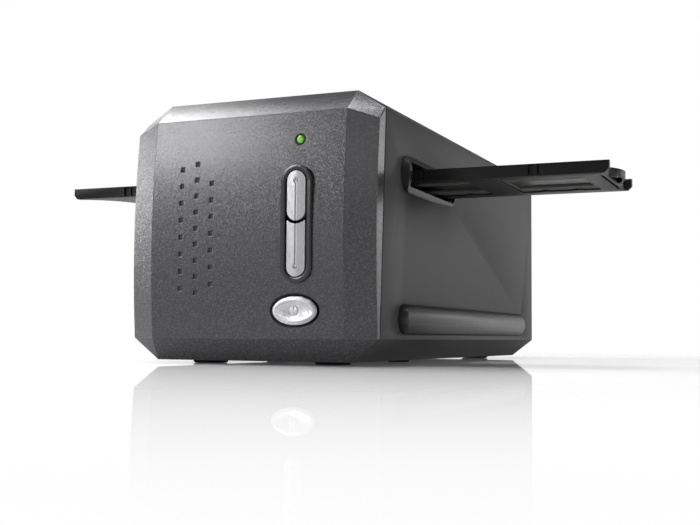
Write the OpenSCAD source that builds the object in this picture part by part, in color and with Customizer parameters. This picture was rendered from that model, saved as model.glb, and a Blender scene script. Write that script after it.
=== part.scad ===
/* [Case] */
// Width of the case
case_w = 120; // [116:1:128]
// Height of the top of the case above the surface it stands on
case_h = 119; // [117:1:124]
// Length of the case, from the foremost point of the bezel to the back
case_l = 272; // [270:1:280]
// How far the middle of the case lies to the left of the film gate
case_offset = 16.4; // [15:0.2:17]
// Wall of the sleeve, the bezel and the panels
wall = 2.3; // [2:0.1:2.6]
// Width of the chamfers along the top
top_chamfer_w = 12.8; // [10:0.2:14]
// Height of the chamfers along the top
top_chamfer_h = 8.6; // [7:0.2:10]
// Width of the chamfers along the bottom
low_chamfer_w = 12.7; // [10:0.2:14]
// Height of the chamfers along the bottom
low_chamfer_h = 9.8; // [8:0.2:10]
// Depth of the bezel along the top edge
split_top = 15.7; // [14:0.1:17]
// Depth of the bezel along the bottom edge
split_bottom = 8.7; // [8:0.1:10]
// Gap between two covers where they meet
cover_gap = 0.25; // [0.15:0.05:0.4]

/* [Bezel face] */
// Radius of the face, seen from the side
face_r = 440; // [400:10:600]
// Height of the foremost line of the face
face_crest_z = 54; // [50:1:60]
// Width of the bevel at each side of the face
face_side_w = 12.8; // [11:0.1:15]
// Distance of the top of the flat part of the face below the top of the case
face_top_drop = 10.1; // [9:0.1:13]
// Bottom of the flat part of the face
face_bottom_z = 11.3; // [10.5:0.1:13]
// Depth of the bevel at the sides of the face
side_bevel = 5; // [4:0.1:6]
// Side of the small square recesses
square_side = 2.2; // [1.8:0.1:2.6]
// Depth of the small square recesses
square_deep = 0.6; // [0.4:0.1:1]
// Distance between two rows of the square recesses
square_pitch = 7.4; // [7.2:0.05:7.6]

/* [Buttons] */
// Distance of the buttons to the right of the middle of the case
button_x = 25.3; // [24:0.1:27]
// Width of the scan buttons
scan_w = 9.6; // [9:0.1:10.4]
// Width of the raised caps of the scan buttons
cap_w = 8.6; // [8:0.1:8.8]
// Distance of the top of the upper scan button below the top of the case
scan_top_drop = 36; // [35:0.5:39]
// Bottom of the lower scan button
scan_bottom_z = 37.4; // [36:0.2:40]
// Share of the height of both scan buttons that the lower one takes
scan_share = 0.509; // [0.48:0.001:0.54]
// Width of the rim of the ring round the scan buttons
ring_rim = 2.2; // [1.8:0.1:2.6]
// How far the ring stands out from the face
ring_proud = 0.7; // [0.4:0.1:1.2]
// How far the buttons stand out from the face
button_proud = 1; // [0.9:0.1:1.8]
// Travel of every button
button_travel = 0.8; // [0.5:0.1:1]
// Gap round a button
button_gap = 0.35; // [0.25:0.05:0.5]
// Distance of the power button to the right of the middle of the case
power_x = 24.3; // [23:0.1:26]
// Height of the middle of the power button
power_z = 23.2; // [22.6:0.1:24]
// Half the width of the power button
power_a = 10.4; // [10:0.1:11.4]
// Half the height of the power button
power_b = 6.1; // [5.6:0.1:6.6]
// Distance of the indicator lamp below the top of the case
lamp_drop = 22.3; // [20:0.1:24]
// Diameter of the indicator lens
lamp_d = 3.8; // [3:0.1:4.4]

/* [Slot and grips] */
// Distance of the slot collar behind the foremost point of the case
collar_in = 33.2; // [32:0.1:34]
// Length of the slot collar
collar_l = 76.8; // [75:0.1:78]
// Height of the middle of the slot collar
collar_z = 85.2; // [85:0.1:85.6]
// Height of the slot collar
collar_h = 16.8; // [16.4:0.1:17.6]
// How far the collar stands out at its front end
collar_proud_front = 4.3; // [4:0.1:5]
// How far the collar stands out at its back end
collar_proud_back = 2.2; // [2:0.1:2.6]
// Width of the end rims of the collar
collar_rim = 3.9; // [3.6:0.1:4.2]
// Distance of the side grips behind the foremost point of the case
grip_in = 31.2; // [30:0.1:33]
// Distance of the side grips from the back of the case
grip_back_in = 25; // [23:0.5:28]
// Height of the middle of the side grips
grip_z = 20.4; // [20:0.1:21]
// Height of the side grips
grip_h = 12.5; // [11:0.1:13]
// How far the grips stand out at their front end
grip_proud_front = 4.8; // [3.5:0.1:5.2]
// How far the grips stand out at their back end
grip_proud_back = 1.9; // [1.8:0.1:2.4]

/* [Holder] */
// Length of the holder's rails
holder_l = 269.6; // [266:0.2:274]
// Width of the holder
holder_w = 62; // [60:0.2:62.4]
// Thickness of the holder
holder_t = 5.2; // [5:0.1:5.3]
// Distance from the middle of the last pocket to the end of the rails
holder_lead = 31; // [29:0.2:32]
// Distance between two slide pockets
pocket_pitch = 51.3; // [51:0.1:52]
// Side of a slide mount
slide_side = 50; // [49.4:0.1:50]
// Thickness of a slide mount
slide_t = 2; // [1.6:0.1:2.2]
// Width of the picture on the film
film_w = 34; // [33:0.2:35]
// Height of the picture on the film
film_h = 23; // [22:0.2:24]
// Height of the underside of the holder above the surface
holder_z = 81.2; // [81:0.1:81.4]
// Distance of the middle of the holder behind the foremost point of the case
gate_in = 69; // [68.6:0.1:69.4]
// Running gap between the holder and its guides
holder_gap = 0.3; // [0.25:0.05:0.4]
// Radius of the finger notch at the left end
notch_r = 30; // [28:0.5:31]
// Depth of the finger notch
notch_deep = 22; // [18:0.5:23]

/* [Flaps] */
// Length of a dust flap from its hinge to its tip
flap_l = 9.6; // [9:0.1:10.4]
// Width of a dust flap
flap_w = 52; // [46:0.5:53]
// Thickness of a dust flap
flap_t = 1; // [0.8:0.1:1.1]
// Diameter of the flap's hinge pin
flap_pin_d = 1.2; // [1:0.1:1.3]

/* [Feet] */
// Height of the feet
foot_h = 1.5; // [1.2:0.1:2]
// Diameter of the large feet
foot_d = 16; // [14:0.5:17]
// Diameter of the small feet
small_foot_d = 11; // [9:0.5:12]
// Distance of the large feet from the sides of the case
foot_side_in = 29; // [28:0.5:32]
// Distance of the front feet behind the foremost point of the case
foot_front_in = 26.5; // [26:0.5:28]
// Distance of the small feet behind the foremost point of the case
foot_mid_in = 100; // [86:1:106]
// Distance of the back feet from the back of the case
foot_back_in = 30; // [26:1:36]

/* [Optics] */
// Travel of the carriage along the film
scan_travel = 26; // [24:0.5:26.5]
// Height of the optical axis
axis_z = 55; // [54.5:0.1:55.5]
// Distance of the carriage tray's sides from the middle of the guide rods
tray_in = 4.6; // [4.2:0.1:5.4]
// Diameter of the guide rods
rod_d = 6; // [5:0.1:6.4]
// Distance of the right guide rod from the edge of the chassis
rod_in = 6.9; // [6.7:0.1:7.1]
// Height of the guide rods
rod_z = 50; // [49.5:0.1:50.5]
// Radial clearance between a rod and its bush
rod_clear = 0.04; // [0.02:0.01:0.08]
// Wall of the carriage tray
tray_wall = 2; // [1.6:0.1:2.2]

/* [Drive] */
// Number of teeth of a belt pulley
pulley_teeth = 16; // [14:1:18]
// Pitch of the belt
belt_pitch = 2.032; // [2:0.008:2.08]
// Width of the belt
belt_w = 6; // [5:0.5:6.5]
// Thickness of the belt
belt_t = 0.9; // [0.7:0.1:1]
// Distance of the belt drive from the left side of the case
drive_in = 21.4; // [20.9:0.1:21.9]
// Height of the middle of the belt
belt_z = 46; // [45.6:0.1:46.4]
// Distance of the motor from the back of the case
motor_in = 48; // [46:0.5:52]
// Distance between the motor and the idler pulley
belt_span = 108; // [104:0.5:112]

/* [Hidden] */

$fn = 48;
eps = 0.01;
far = 400;

case_x = -case_offset;
front_y = -case_l / 2;
back_y = case_l / 2;
case_half = case_w / 2;
side_right = case_x + case_half;
side_left = case_x - case_half;
inner_half = case_half - wall;
face_half_w = case_half - face_side_w;
face_top_z = case_h - face_top_drop;
scan_top_z = case_h - scan_top_drop;
scan_split_z = scan_bottom_z + scan_share * (scan_top_z - scan_bottom_z);
lamp_z = case_h - lamp_drop;
collar_front = front_y + collar_in;
collar_back = collar_front + collar_l;
grip_front = front_y + grip_in;
grip_back = back_y - grip_back_in;
gate_y = front_y + gate_in;
foot_x = case_half - foot_side_in;
foot_front_y = front_y + foot_front_in;
foot_mid_y = front_y + foot_mid_in;
foot_back_y = back_y - foot_back_in;
chassis_left = side_left + 3.4;
chassis_right = side_right - 5.1;
chassis_front = front_y + 30;
chassis_back = back_y - 18.5;
rod_x = chassis_right - rod_in;
tray_half_w = rod_x - tray_in;
drive_x = -side_left - drive_in;
motor_y = back_y - motor_in;
idler_y = motor_y - belt_span;

// Depth of the face behind its foremost line at a height
function face_y(z) = front_y + pow(z - face_crest_z, 2) / (2 * face_r);
// Place of the edge between the bezel and the sleeve at a height
function split_y(z) =
    front_y + split_bottom + (split_top - split_bottom) * (z - foot_h) / (case_h - foot_h);
// How far the end of a chamfer moves along the wall when the outline shrinks by t
function chamfer_shift(along, across, t) = t * (norm([along, across]) - along) / across;

// Outline of the case in x and z, smaller by t all round
function case_outline(t) =
    let (half = case_half - t,
         top_wall_z = case_h - top_chamfer_h - chamfer_shift(top_chamfer_h, top_chamfer_w, t),
         top_x = case_half - top_chamfer_w - chamfer_shift(top_chamfer_w, top_chamfer_h, t),
         low_wall_z = foot_h + low_chamfer_h + chamfer_shift(low_chamfer_h, low_chamfer_w, t),
         low_x = case_half - low_chamfer_w - chamfer_shift(low_chamfer_w, low_chamfer_h, t))
    [[half, low_wall_z], [half, top_wall_z], [top_x, case_h - t], [-top_x, case_h - t],
     [-half, top_wall_z], [-half, low_wall_z], [-low_x, foot_h + t], [low_x, foot_h + t]];

module in_case() translate([case_x, 0, 0]) children();

// Extrudes an outline drawn in x and z from y0 to y1
module along_y(y0, y1) translate([0, y1, 0]) rotate([90, 0, 0]) linear_extrude(y1 - y0) children();

// Extrudes an outline drawn in y and z from x0 to x1
module along_x(x0, x1) translate([x0, 0, 0]) rotate([90, 0, 90]) linear_extrude(x1 - x0) children();

// Box between two corners
module block(low, high) translate(low) cube(high - low);

// Round bar along y
module bar_y(r, y0, y1) translate([0, y1, 0]) rotate([90, 0, 0]) cylinder(r = r, h = y1 - y0);

// Bar with two round ends, lying along the first axis
module stadium(length, height) {
    square([length - height, height], center = true);
    for (side = [-1, 1]) translate([side * (length - height) / 2, 0]) circle(d = height);
}

// Rectangle with round corners
module round_rect(w, h, r) {
    square([w - 2 * r, h], center = true);
    square([w, h - 2 * r], center = true);
    for (sx = [-1, 1], sy = [-1, 1]) translate([sx * (w / 2 - r), sy * (h / 2 - r)]) circle(r = r);
}

// Ellipse with half axes a and b
module oval(a, b) polygon([for (i = [0 : 47]) [a * cos(7.5 * i), b * sin(7.5 * i)]]);

// Wire of radius r wound round z with a mean radius coil_r
module coil(coil_r, r, turns, height) {
    sides = 5;
    steps = 11;
    rings = round(turns * steps);
    points = [for (i = [0 : rings], k = [0 : sides - 1])
        let (turn = 360 * i / steps, ring = coil_r + r * cos(360 * k / sides))
        [ring * cos(turn), ring * sin(turn),
         r + (height - 2 * r) * i / rings + r * sin(360 * k / sides)]];
    faces = concat([[for (k = [0 : sides - 1]) k]],
        [for (i = [0 : rings - 1], k = [0 : sides - 1])
            [i * sides + k, (i + 1) * sides + k, (i + 1) * sides + (k + 1) % sides,
             i * sides + (k + 1) % sides]],
        [[for (k = [sides - 1 : -1 : 0]) rings * sides + k]]);
    polyhedron(points, faces);
}

// ---- Front bezel ----

// Everything behind the curved face and its side bevels, moved in by t
module face_solid(t) {
    r = face_r - t;
    half = case_half - t;
    flat = face_half_w - t * 0.2;
    translate([0, front_y + face_r, face_crest_z]) rotate([0, 90, 0])
        rotate_extrude($fn = 180)
            polygon([[0, -half], [r - side_bevel, -half], [r, -flat], [r, flat],
                     [r - side_bevel, half], [0, half]]);
}

top_bevel_y = split_y(case_h) - 0.6;
low_bevel_y = split_y(foot_h) - 1.4;
corner_top_y = face_y(case_h - top_chamfer_h) + side_bevel;
corner_low_y = face_y(foot_h + low_chamfer_h) + side_bevel;

// Plane through three points, drawn as the solid that lies behind it, and moved in by t
module behind_plane(a, b, c, t) {
    n = cross(b - a, c - a) / norm(cross(b - a, c - a));
    inward = n.y > 0 ? n : -n;
    tilt = acos(inward.y);
    axis = cross([0, 1, 0], inward);
    translate(a + t * inward) rotate(a = tilt, v = axis)
        translate([-far / 2, 0, -far / 2]) cube([far, far, far]);
}

// The solid form of the bezel, moved in by t
module bezel_form(t) {
    intersection() {
        along_y(front_y - 1, front_y + 40) polygon(case_outline(t));
        face_solid(t);
        behind_plane([-1, face_y(face_top_z), face_top_z], [1, face_y(face_top_z), face_top_z],
                     [0, top_bevel_y, case_h], t);
        behind_plane([-1, face_y(face_bottom_z), face_bottom_z],
                     [1, face_y(face_bottom_z), face_bottom_z], [0, low_bevel_y, foot_h], t);
        for (side = [-1, 1]) {
            behind_plane([side * face_half_w, face_y(face_top_z), face_top_z],
                         [side * case_half, corner_top_y, case_h - top_chamfer_h],
                         [side * (case_half - top_chamfer_w), top_bevel_y, case_h], t);
            behind_plane([side * face_half_w, face_y(face_bottom_z), face_bottom_z],
                         [side * case_half, corner_low_y, foot_h + low_chamfer_h],
                         [side * (case_half - low_chamfer_w), low_bevel_y, foot_h], t);
        }
    }
}

// Everything in front of the split between bezel and sleeve, moved forward by t
module before_split(t) {
    along_x(-far / 2, far / 2) polygon([
        [front_y - 10, -10], [split_y(-10) - t, -10], [split_y(case_h + 10) - t, case_h + 10],
        [front_y - 10, case_h + 10]]);
}

tongue_t = 1.8;
tongue_l = 6;
scan_mid_z = (scan_top_z + scan_bottom_z) / 2;
scan_l = scan_top_z - scan_bottom_z;
ring_w = scan_w + 2 * button_gap + 2 * ring_rim;
ring_l = scan_l + 2 * button_gap + 2 * ring_rim;
ring_flange = 1.2;
power_gap = 0.7;
power_dish = 1.3;
power_dish_deep = 1.1;
lamp_ring_d = lamp_d + 1.1;
board_post_x = 14.2;
board_low_z = 34;
board_high_z = lamp_z - 8.2;
board_y = front_y + 12;
post_d = 5;

module button_posts() {
    for (side = [-1, 1], z = [board_low_z, board_high_z])
        translate([button_x + side * board_post_x, 0, z]) children();
}

// Columns of square recesses: distance from the middle, height of the lowest, rows, stretch
square_columns = [[-32, 33.2, 8, 1.025], [-24.4, 31.2, 9, 0.966], [-16.7, 35, 7, 1]];

module square_recesses() {
    for (column = square_columns, row = [0 : column[2] - 1]) {
        z = column[1] + row * square_pitch * column[3];
        translate([column[0] - square_side / 2, front_y - 1, z - square_side / 2])
            cube([square_side, face_y(z) - front_y + 1 + square_deep, square_side]);
    }
}

module front_bezel() color("#47484a") in_case() {
    difference() {
        union() {
            intersection() {
                difference() {
                    bezel_form(0);
                    bezel_form(wall);
                }
                before_split(cover_gap);
            }
            // tongue that slides into the sleeve
            difference() {
                union() {
                    intersection() {
                        bezel_form(wall + cover_gap);
                        before_split(-tongue_l);
                    }
                    intersection() {
                        bezel_form(wall - 0.3);
                        before_split(cover_gap);
                    }
                }
                bezel_form(wall + cover_gap + tongue_t);
                before_split(2);
            }
            // posts of the switch board
            intersection() {
                button_posts() bar_y(post_d / 2, front_y, board_y);
                bezel_form(wall / 2);
            }
        }
        square_recesses();
        // seat and window of the button frame
        along_y(front_y - 5, board_y - 4) translate([button_x, scan_mid_z]) rotate(90)
            stadium(ring_l - 2 * ring_flange, ring_w - 2 * ring_flange);
        // dish and window of the power button
        translate([power_x, 0, power_z]) {
            along_y(front_y - 5, face_y(power_z) + power_dish_deep)
                oval(power_a + power_dish, power_b + power_dish);
            along_y(front_y - 5, board_y - 4) oval(power_a + power_gap, power_b + power_gap);
        }
        translate([button_x + 0.5, 0, lamp_z]) bar_y(lamp_ring_d / 2, front_y - 5, board_y - 4);
        button_posts() bar_y(0.9, board_y - 6, board_y + 1);
    }
}

ring_back_y = face_y(scan_split_z) + wall;

module button_frame() color("#2b2c2e") in_case() translate([button_x, 0, scan_mid_z]) {
    difference() {
        union() {
            along_y(front_y - ring_proud, face_y(scan_bottom_z) - 0.05) rotate(90) stadium(ring_l, ring_w);
            along_y(front_y - ring_proud, ring_back_y) rotate(90)
                stadium(ring_l - 2 * ring_flange - 0.2, ring_w - 2 * ring_flange - 0.2);
        }
        // seat on the curved face
        translate([0, front_y + face_r, face_crest_z - scan_mid_z]) rotate([0, 90, 0])
            difference() {
                cylinder(r = face_r, h = ring_w + 2, center = true, $fn = 180);
                // the spigot goes through the face
                rotate([0, -90, 0]) translate([0, -face_r - front_y, scan_mid_z - face_crest_z])
                    along_y(front_y - 5, ring_back_y + 1) rotate(90)
                        stadium(ring_l - 2 * ring_flange - 0.2, ring_w - 2 * ring_flange - 0.2);
            }
        along_y(front_y - 5, ring_back_y + 1) rotate(90)
            stadium(scan_l + 2 * button_gap, scan_w + 2 * button_gap);
    }
}

// ---- Buttons ----

button_front_y = front_y - button_proud;
flange_y = ring_back_y + 0.25;
flange_t = 1.2;
flange_over = 1.1;
stem_d = 4;
switch_h = 3.5;
plunger_h = 0.9;
stem_end_y = board_y - switch_h - plunger_h - 0.3 - button_travel;
scan_upper_z = (scan_top_z + scan_split_z + 0.7) / 2;
scan_lower_z = (scan_bottom_z + scan_split_z - 0.7) / 2;
horn_z = scan_split_z + 0.9;
cap_step_y = front_y + 0.4;
cap_fall = 0.9;
cap_inset = 0.15;

// Centre groove of a cap from z0 to z1, with a round dimple and its pip at one end
module cap_groove(z0, z1, dimple_z) {
    block([-0.4, button_front_y - 1, z0], [0.4, button_front_y + 0.35, z1]);
    translate([0, 0, dimple_z]) difference() {
        bar_y(1.2, button_front_y - 1, button_front_y + 0.5);
        bar_y(0.55, button_front_y + 0.1, button_front_y + 1);
    }
}

// Roof-shaped front of a cap: it falls away a little to both sides of the groove
module cap_roof() translate([0, 0, scan_bottom_z - 5]) linear_extrude(scan_l + 10)
    polygon([[-scan_w, cap_step_y], [-scan_w, button_front_y + cap_fall], [-0.6, button_front_y],
             [0.6, button_front_y], [scan_w, button_front_y + cap_fall], [scan_w, cap_step_y]]);

module stadium_upright(length, w) rotate(90) stadium(length, w);

module button_core(z) {
    // stem that meets the switch
    translate([0, 0, z]) bar_y(stem_d / 2, flange_y, stem_end_y);
}

// Upper scan button outline of width w: both ends round
module upper_outline(w, inset) translate([0, scan_upper_z])
    stadium_upright(scan_top_z - scan_split_z - 0.7 - 2 * inset, w);

// Lower scan button outline of width w: its top follows the round end of the upper one
module lower_outline(w, inset) {
    difference() {
        union() {
            translate([0, scan_bottom_z + inset + w / 2]) circle(d = w);
            translate([-w / 2, scan_bottom_z + inset + w / 2])
                square([w, horn_z - scan_bottom_z - inset - w / 2]);
        }
        translate([0, scan_split_z + 0.7 + scan_w / 2]) circle(d = scan_w + 2.2 + 2 * inset);
    }
}

module scan_button_upper() color("#c9cacc") in_case() translate([button_x, 0, 0]) {
    difference() {
        union() {
            intersection() {
                along_y(button_front_y - 1, cap_step_y + 0.5) upper_outline(cap_w, cap_inset);
                union() {
                    cap_roof();
                    along_y(cap_step_y - 0.2, cap_step_y + 0.5) square(2 * case_h, center = true);
                }
            }
            along_y(cap_step_y, flange_y) upper_outline(scan_w, 0);
            along_y(flange_y, flange_y + flange_t) upper_outline(scan_w + 2 * flange_over, -flange_over);
        }
        cap_groove(scan_split_z - 1, scan_top_z - 4, scan_top_z - 4.4);
        // the flange stays clear of the lower button
        block([-10, flange_y, scan_split_z - 10], [10, flange_y + flange_t + 1, horn_z + 0.4]);
    }
    button_core(scan_upper_z);
}

module scan_button_lower() color("#c9cacc") in_case() translate([button_x, 0, 0]) {
    difference() {
        union() {
            intersection() {
                along_y(button_front_y - 1, cap_step_y + 0.5) lower_outline(cap_w, cap_inset);
                union() {
                    cap_roof();
                    along_y(cap_step_y - 0.2, cap_step_y + 0.5) square(2 * case_h, center = true);
                }
            }
            along_y(cap_step_y, flange_y) lower_outline(scan_w, 0);
            along_y(flange_y, flange_y + flange_t) {
                translate([0, scan_bottom_z + scan_w / 2]) circle(d = scan_w + 2 * flange_over);
                translate([-scan_w / 2 - flange_over, scan_bottom_z + scan_w / 2])
                    square([scan_w + 2 * flange_over, 15]);
            }
        }
        cap_groove(scan_bottom_z + 4, scan_split_z + 2, scan_bottom_z + 4.4);
        block([-10, flange_y, scan_split_z - 0.6], [10, flange_y + flange_t + 1, scan_split_z + 10]);
    }
    button_core(scan_lower_z);
}

power_back_y = face_y(power_z - power_b - 1.8) + wall + 0.3;

module power_button() color("#c9cacc") in_case() translate([power_x, 0, power_z]) {
    power_front_y = face_y(power_z) - button_proud;
    difference() {
        union() {
            along_y(power_front_y + 1, power_back_y) oval(power_a, power_b);
            // domed cap in two steps
            along_y(power_front_y + 0.4, power_front_y + 1.1) oval(power_a - 0.35, power_b - 0.35);
            along_y(power_front_y, power_front_y + 0.5) oval(power_a - 1, power_b - 1);
            along_y(power_back_y, power_back_y + flange_t) oval(power_a + 1.8, power_b + 1.8);
        }
        // sunk field that carries the sign
        along_y(power_front_y - 1, power_front_y + 0.25) intersection() {
            translate([0, 12.2]) circle(r = 16.2);
            translate([0, -12.2]) circle(r = 16.2);
        }
        // engraved stroke and open ring
        along_y(power_front_y - 1, power_front_y + 0.45) {
            difference() {
                circle(r = 2.4);
                circle(r = 1.95);
                translate([-0.8, 0]) square([1.6, 4]);
            }
            translate([-0.22, 0.3]) square([0.44, 2.3]);
        }
    }
    bar_y(stem_d / 2, power_back_y, stem_end_y);
}

module indicator_lens() color("#6cc03c") in_case() translate([button_x + 0.5, face_y(lamp_z), lamp_z])
    rotate([-90, 0, 0]) rotate_extrude() {
        r = lamp_d / 2;
        // domed rod with a collar behind the face
        polygon([[0, -0.65], [r * 0.3, -0.65], [r * 0.6, -0.45], [r * 0.85, -0.1], [r, 0.4],
                 [r, wall + 1.1], [r + 0.8, wall + 1.1], [r + 0.8, wall + 1.9], [r, wall + 1.9],
                 [r, board_y - 1.5 - face_y(lamp_z)], [0, board_y - 1.5 - face_y(lamp_z)]]);
    }

module indicator_ring() color("#1c1c1e") in_case() translate([button_x + 0.5, 0, lamp_z]) {
    lens_y = face_y(lamp_z);
    difference() {
        union() {
            bar_y(lamp_ring_d / 2, lens_y - 0.1, lens_y + wall);
            bar_y(lamp_ring_d / 2 + 0.8, lens_y + wall + 0.5, lens_y + wall + 1.1);
            bar_y(lamp_ring_d / 2 - 0.05, lens_y + wall - 0.1, lens_y + wall + 0.6);
        }
        bar_y(lamp_d / 2, lens_y - 1, lens_y + wall + 2);
    }
}

// ---- Sleeve, collars and grips ----

collar_mid_y = (collar_front + collar_back) / 2;
collar_seat = 2.4;
mouth_z0 = holder_z - 1.9;
mouth_z1 = collar_z + collar_h / 2 - 3.3;
mouth_mid_z = (mouth_z0 + mouth_z1) / 2;
mouth_l = collar_l - 2 * collar_rim;
spigot_in = 3;
grip_mid_y = (grip_front + grip_back) / 2;
grip_l = grip_back - grip_front;
grip_deep = 1.1;
grip_gap = 0.3;
opening_half = case_half - 20;
opening_front = front_y + 17.5;
opening_back = back_y - 10;
boss_d = 9;
screw_d = 2.9;
rear_y = back_y - 1;
rear_boss_x = case_half - 7.4;
rear_boss = [[rear_boss_x, 24], [rear_boss_x, case_h - 21]];
flange_screw_x = opening_half + 3.2;
flange_screw_y = [front_y + 52, 20, back_y - 24];

module collar_outline(grow) translate([collar_mid_y, collar_z])
    stadium(collar_l + 2 * grow, collar_h + 2 * grow);
module grip_outline(grow) translate([grip_mid_y, grip_z]) stadium(grip_l + 2 * grow, grip_h + 2 * grow);

// Both sides of the case: the second is the mirror image of the first
module both_sides() {
    children();
    mirror([1, 0, 0]) children();
}

module sleeve() color("#4b4c4e") in_case() {
    difference() {
        union() {
            difference() {
                along_y(front_y, back_y) polygon(case_outline(0));
                along_y(front_y - 1, back_y + 1) polygon(case_outline(wall));
            }
            // stop for the rear panel
            difference() {
                along_y(rear_y - wall - cover_gap - 2, rear_y - wall - cover_gap)
                    polygon(case_outline(wall - 0.2));
                along_y(rear_y - 20, rear_y) polygon(case_outline(wall + 2));
            }
            both_sides() for (at = rear_boss) difference() {
                translate([at[0], 0, at[1]]) bar_y(boss_d / 2, rear_y - wall - cover_gap - 14,
                    rear_y - wall - cover_gap);
                block([inner_half + 0.5, 0, 0], [case_half + 20, back_y + 1, case_h]);
            }
        }
        before_split(0);
        both_sides() {
            along_x(inner_half - 1, case_half + 1) collar_outline(-collar_seat);
            along_x(case_half - grip_deep, case_half + 1) grip_outline(grip_gap);
            for (at = rear_boss) translate([at[0], 0, at[1]]) bar_y(1.2, rear_y - 14, rear_y);
            for (y = flange_screw_y) translate([flange_screw_x, y, 0]) {
                cylinder(d = screw_d + 0.4, h = foot_h + wall + 1);
                cylinder(d = 5.6, h = foot_h + 1);
            }
        }
        block([-opening_half, opening_front, -1], [opening_half, opening_back, foot_h + wall + 0.5]);
    }
}

// Crown that falls from front to back: a long round bar, tilted
module crown(mid_y, length, mid_z, r, proud_front, proud_back) {
    tilt = atan((proud_front - proud_back) / length);
    mid_proud = (proud_front + proud_back) / 2;
    translate([case_half + mid_proud - r, mid_y, mid_z]) rotate([0, 0, tilt])
        bar_y(r, -length, length, $fn = 96);
}

hinge_x = case_half - 4.6;
hinge_z = holder_z + holder_t + 2.8;
flap_r = 1.1;
flap_mid_y = collar_mid_y;
ear_t = 2;
ear_gap = 0.3;
ear_y0 = flap_mid_y - flap_w / 2 - ear_gap - ear_t;
ear_y1 = flap_mid_y + flap_w / 2 + ear_gap;

module slot_collar() {
    difference() {
        union() {
            intersection() {
                along_x(case_half, case_half + 10) collar_outline(0);
                crown(collar_mid_y, collar_l, collar_z, 13, collar_proud_front, collar_proud_back);
            }
            along_x(case_half - spigot_in, case_half) collar_outline(-collar_seat - cover_gap);
        }
        // mouth
        along_x(case_half - spigot_in - 1, case_half + 12) translate([collar_mid_y, mouth_mid_z])
            round_rect(mouth_l, mouth_z1 - mouth_z0, 1.6);
    }
    // ears behind the mouth's upper edge that hold the pin of the dust flap
    for (y = [ear_y0, ear_y1]) difference() {
        along_y(y, y + ear_t) {
            translate([hinge_x, hinge_z]) circle(r = flap_r);
            polygon([[hinge_x, hinge_z - flap_r], [case_half - 0.6, mouth_z1 - 1],
                     [case_half - 0.6, mouth_z1 + 0.4], [hinge_x, hinge_z + flap_r]]);
        }
        translate([hinge_x, 0, hinge_z]) bar_y(flap_pin_d / 2, y - 1, y + ear_t + 1);
    }
}

module slot_collar_right() color("#4a4b4d") in_case() slot_collar();
module slot_collar_left() color("#4a4b4d") in_case() mirror([1, 0, 0]) slot_collar();

module grip() {
    intersection() {
        along_x(case_half - grip_deep, case_half + 10) grip_outline(0);
        crown(grip_mid_y, grip_l, grip_z, 12, grip_proud_front, grip_proud_back);
    }
}

module grip_right() color("#434446") in_case() grip();
module grip_left() color("#434446") in_case() mirror([1, 0, 0]) grip();

// ---- Dust flaps ----

flap_clear = 0.05;
flap_rest = 0.2;
flap_tilt = asin((hinge_z - holder_z - holder_t - flap_rest - flap_t / 2) / flap_l);
flap_spring_l = 3;
flap_y0 = ear_y0 + ear_t + ear_gap;
flap_y1 = ear_y1 - ear_gap;

// Point of the flap's section, from its place along the plate, which falls inwards, and above it
function on_flap(along, above) = [-along * cos(flap_tilt) - above * sin(flap_tilt),
                                  -along * sin(flap_tilt) + above * cos(flap_tilt)];

module flap_bar(y0, y1, along0, along1, above0, above1) along_y(y0, y1) polygon([
    on_flap(along0, above0), on_flap(along1, above0), on_flap(along1, above1), on_flap(along0, above1)]);

module dust_flap() {
    translate([hinge_x, 0, hinge_z]) difference() {
        union() {
            // barrel, short of the spring, and the plate it carries
            bar_y(flap_r, flap_y0, flap_y1 - flap_spring_l + 0.5);
            flap_bar(flap_y0, flap_y1, 0.85, flap_l, -flap_t / 2, flap_t / 2);
            // stiffening ribs on top
            for (y = [-16, 0, 16])
                flap_bar(flap_mid_y + y - 0.6, flap_mid_y + y + 0.6, 1.7, flap_l - 2, 0.2,
                    flap_t / 2 + 0.7);
        }
        bar_y(flap_pin_d / 2 + flap_clear, ear_y0, ear_y1);
        // room for the spring
        flap_bar(flap_y1 - flap_spring_l, flap_y1 + 1, -3, 2.6, -3, 3);
        // cut corners
        for (end = [[flap_y0, 1], [flap_y1, -1]]) translate([0, end[0], -5]) linear_extrude(10)
            polygon([[3 - flap_l, -end[1]], [-flap_l - 1, -end[1]], [-flap_l - 1, 4 * end[1]]]);
    }
}

module dust_flap_right() color("#202123") in_case() dust_flap();
module dust_flap_left() color("#202123") in_case() mirror([1, 0, 0]) dust_flap();

module flap_pins() color("#b8babd") in_case() both_sides()
    translate([hinge_x, 0, hinge_z]) bar_y(flap_pin_d / 2, ear_y0, ear_y1 + ear_t);

module flap_spring() {
    translate([hinge_x, ear_y1 - ear_gap - 0.1, hinge_z]) rotate([90, 0, 0])
        coil(flap_pin_d / 2 + 0.3, 0.16, 4, flap_spring_l - 0.3);
}

module flap_spring_right() color("#b8babd") in_case() flap_spring();
module flap_spring_left() color("#b8babd") in_case() mirror([1, 0, 0]) flap_spring();

// ---- Rear panel, base and feet ----

usb_x = -20;
inlet_x = 8;
board_z = 73.9;
board_t = 1.6;
usb_w = 12;
usb_h = 10.8;
inlet_w = 9;
inlet_h = 11;
inlet_bore = 5.5;

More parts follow.
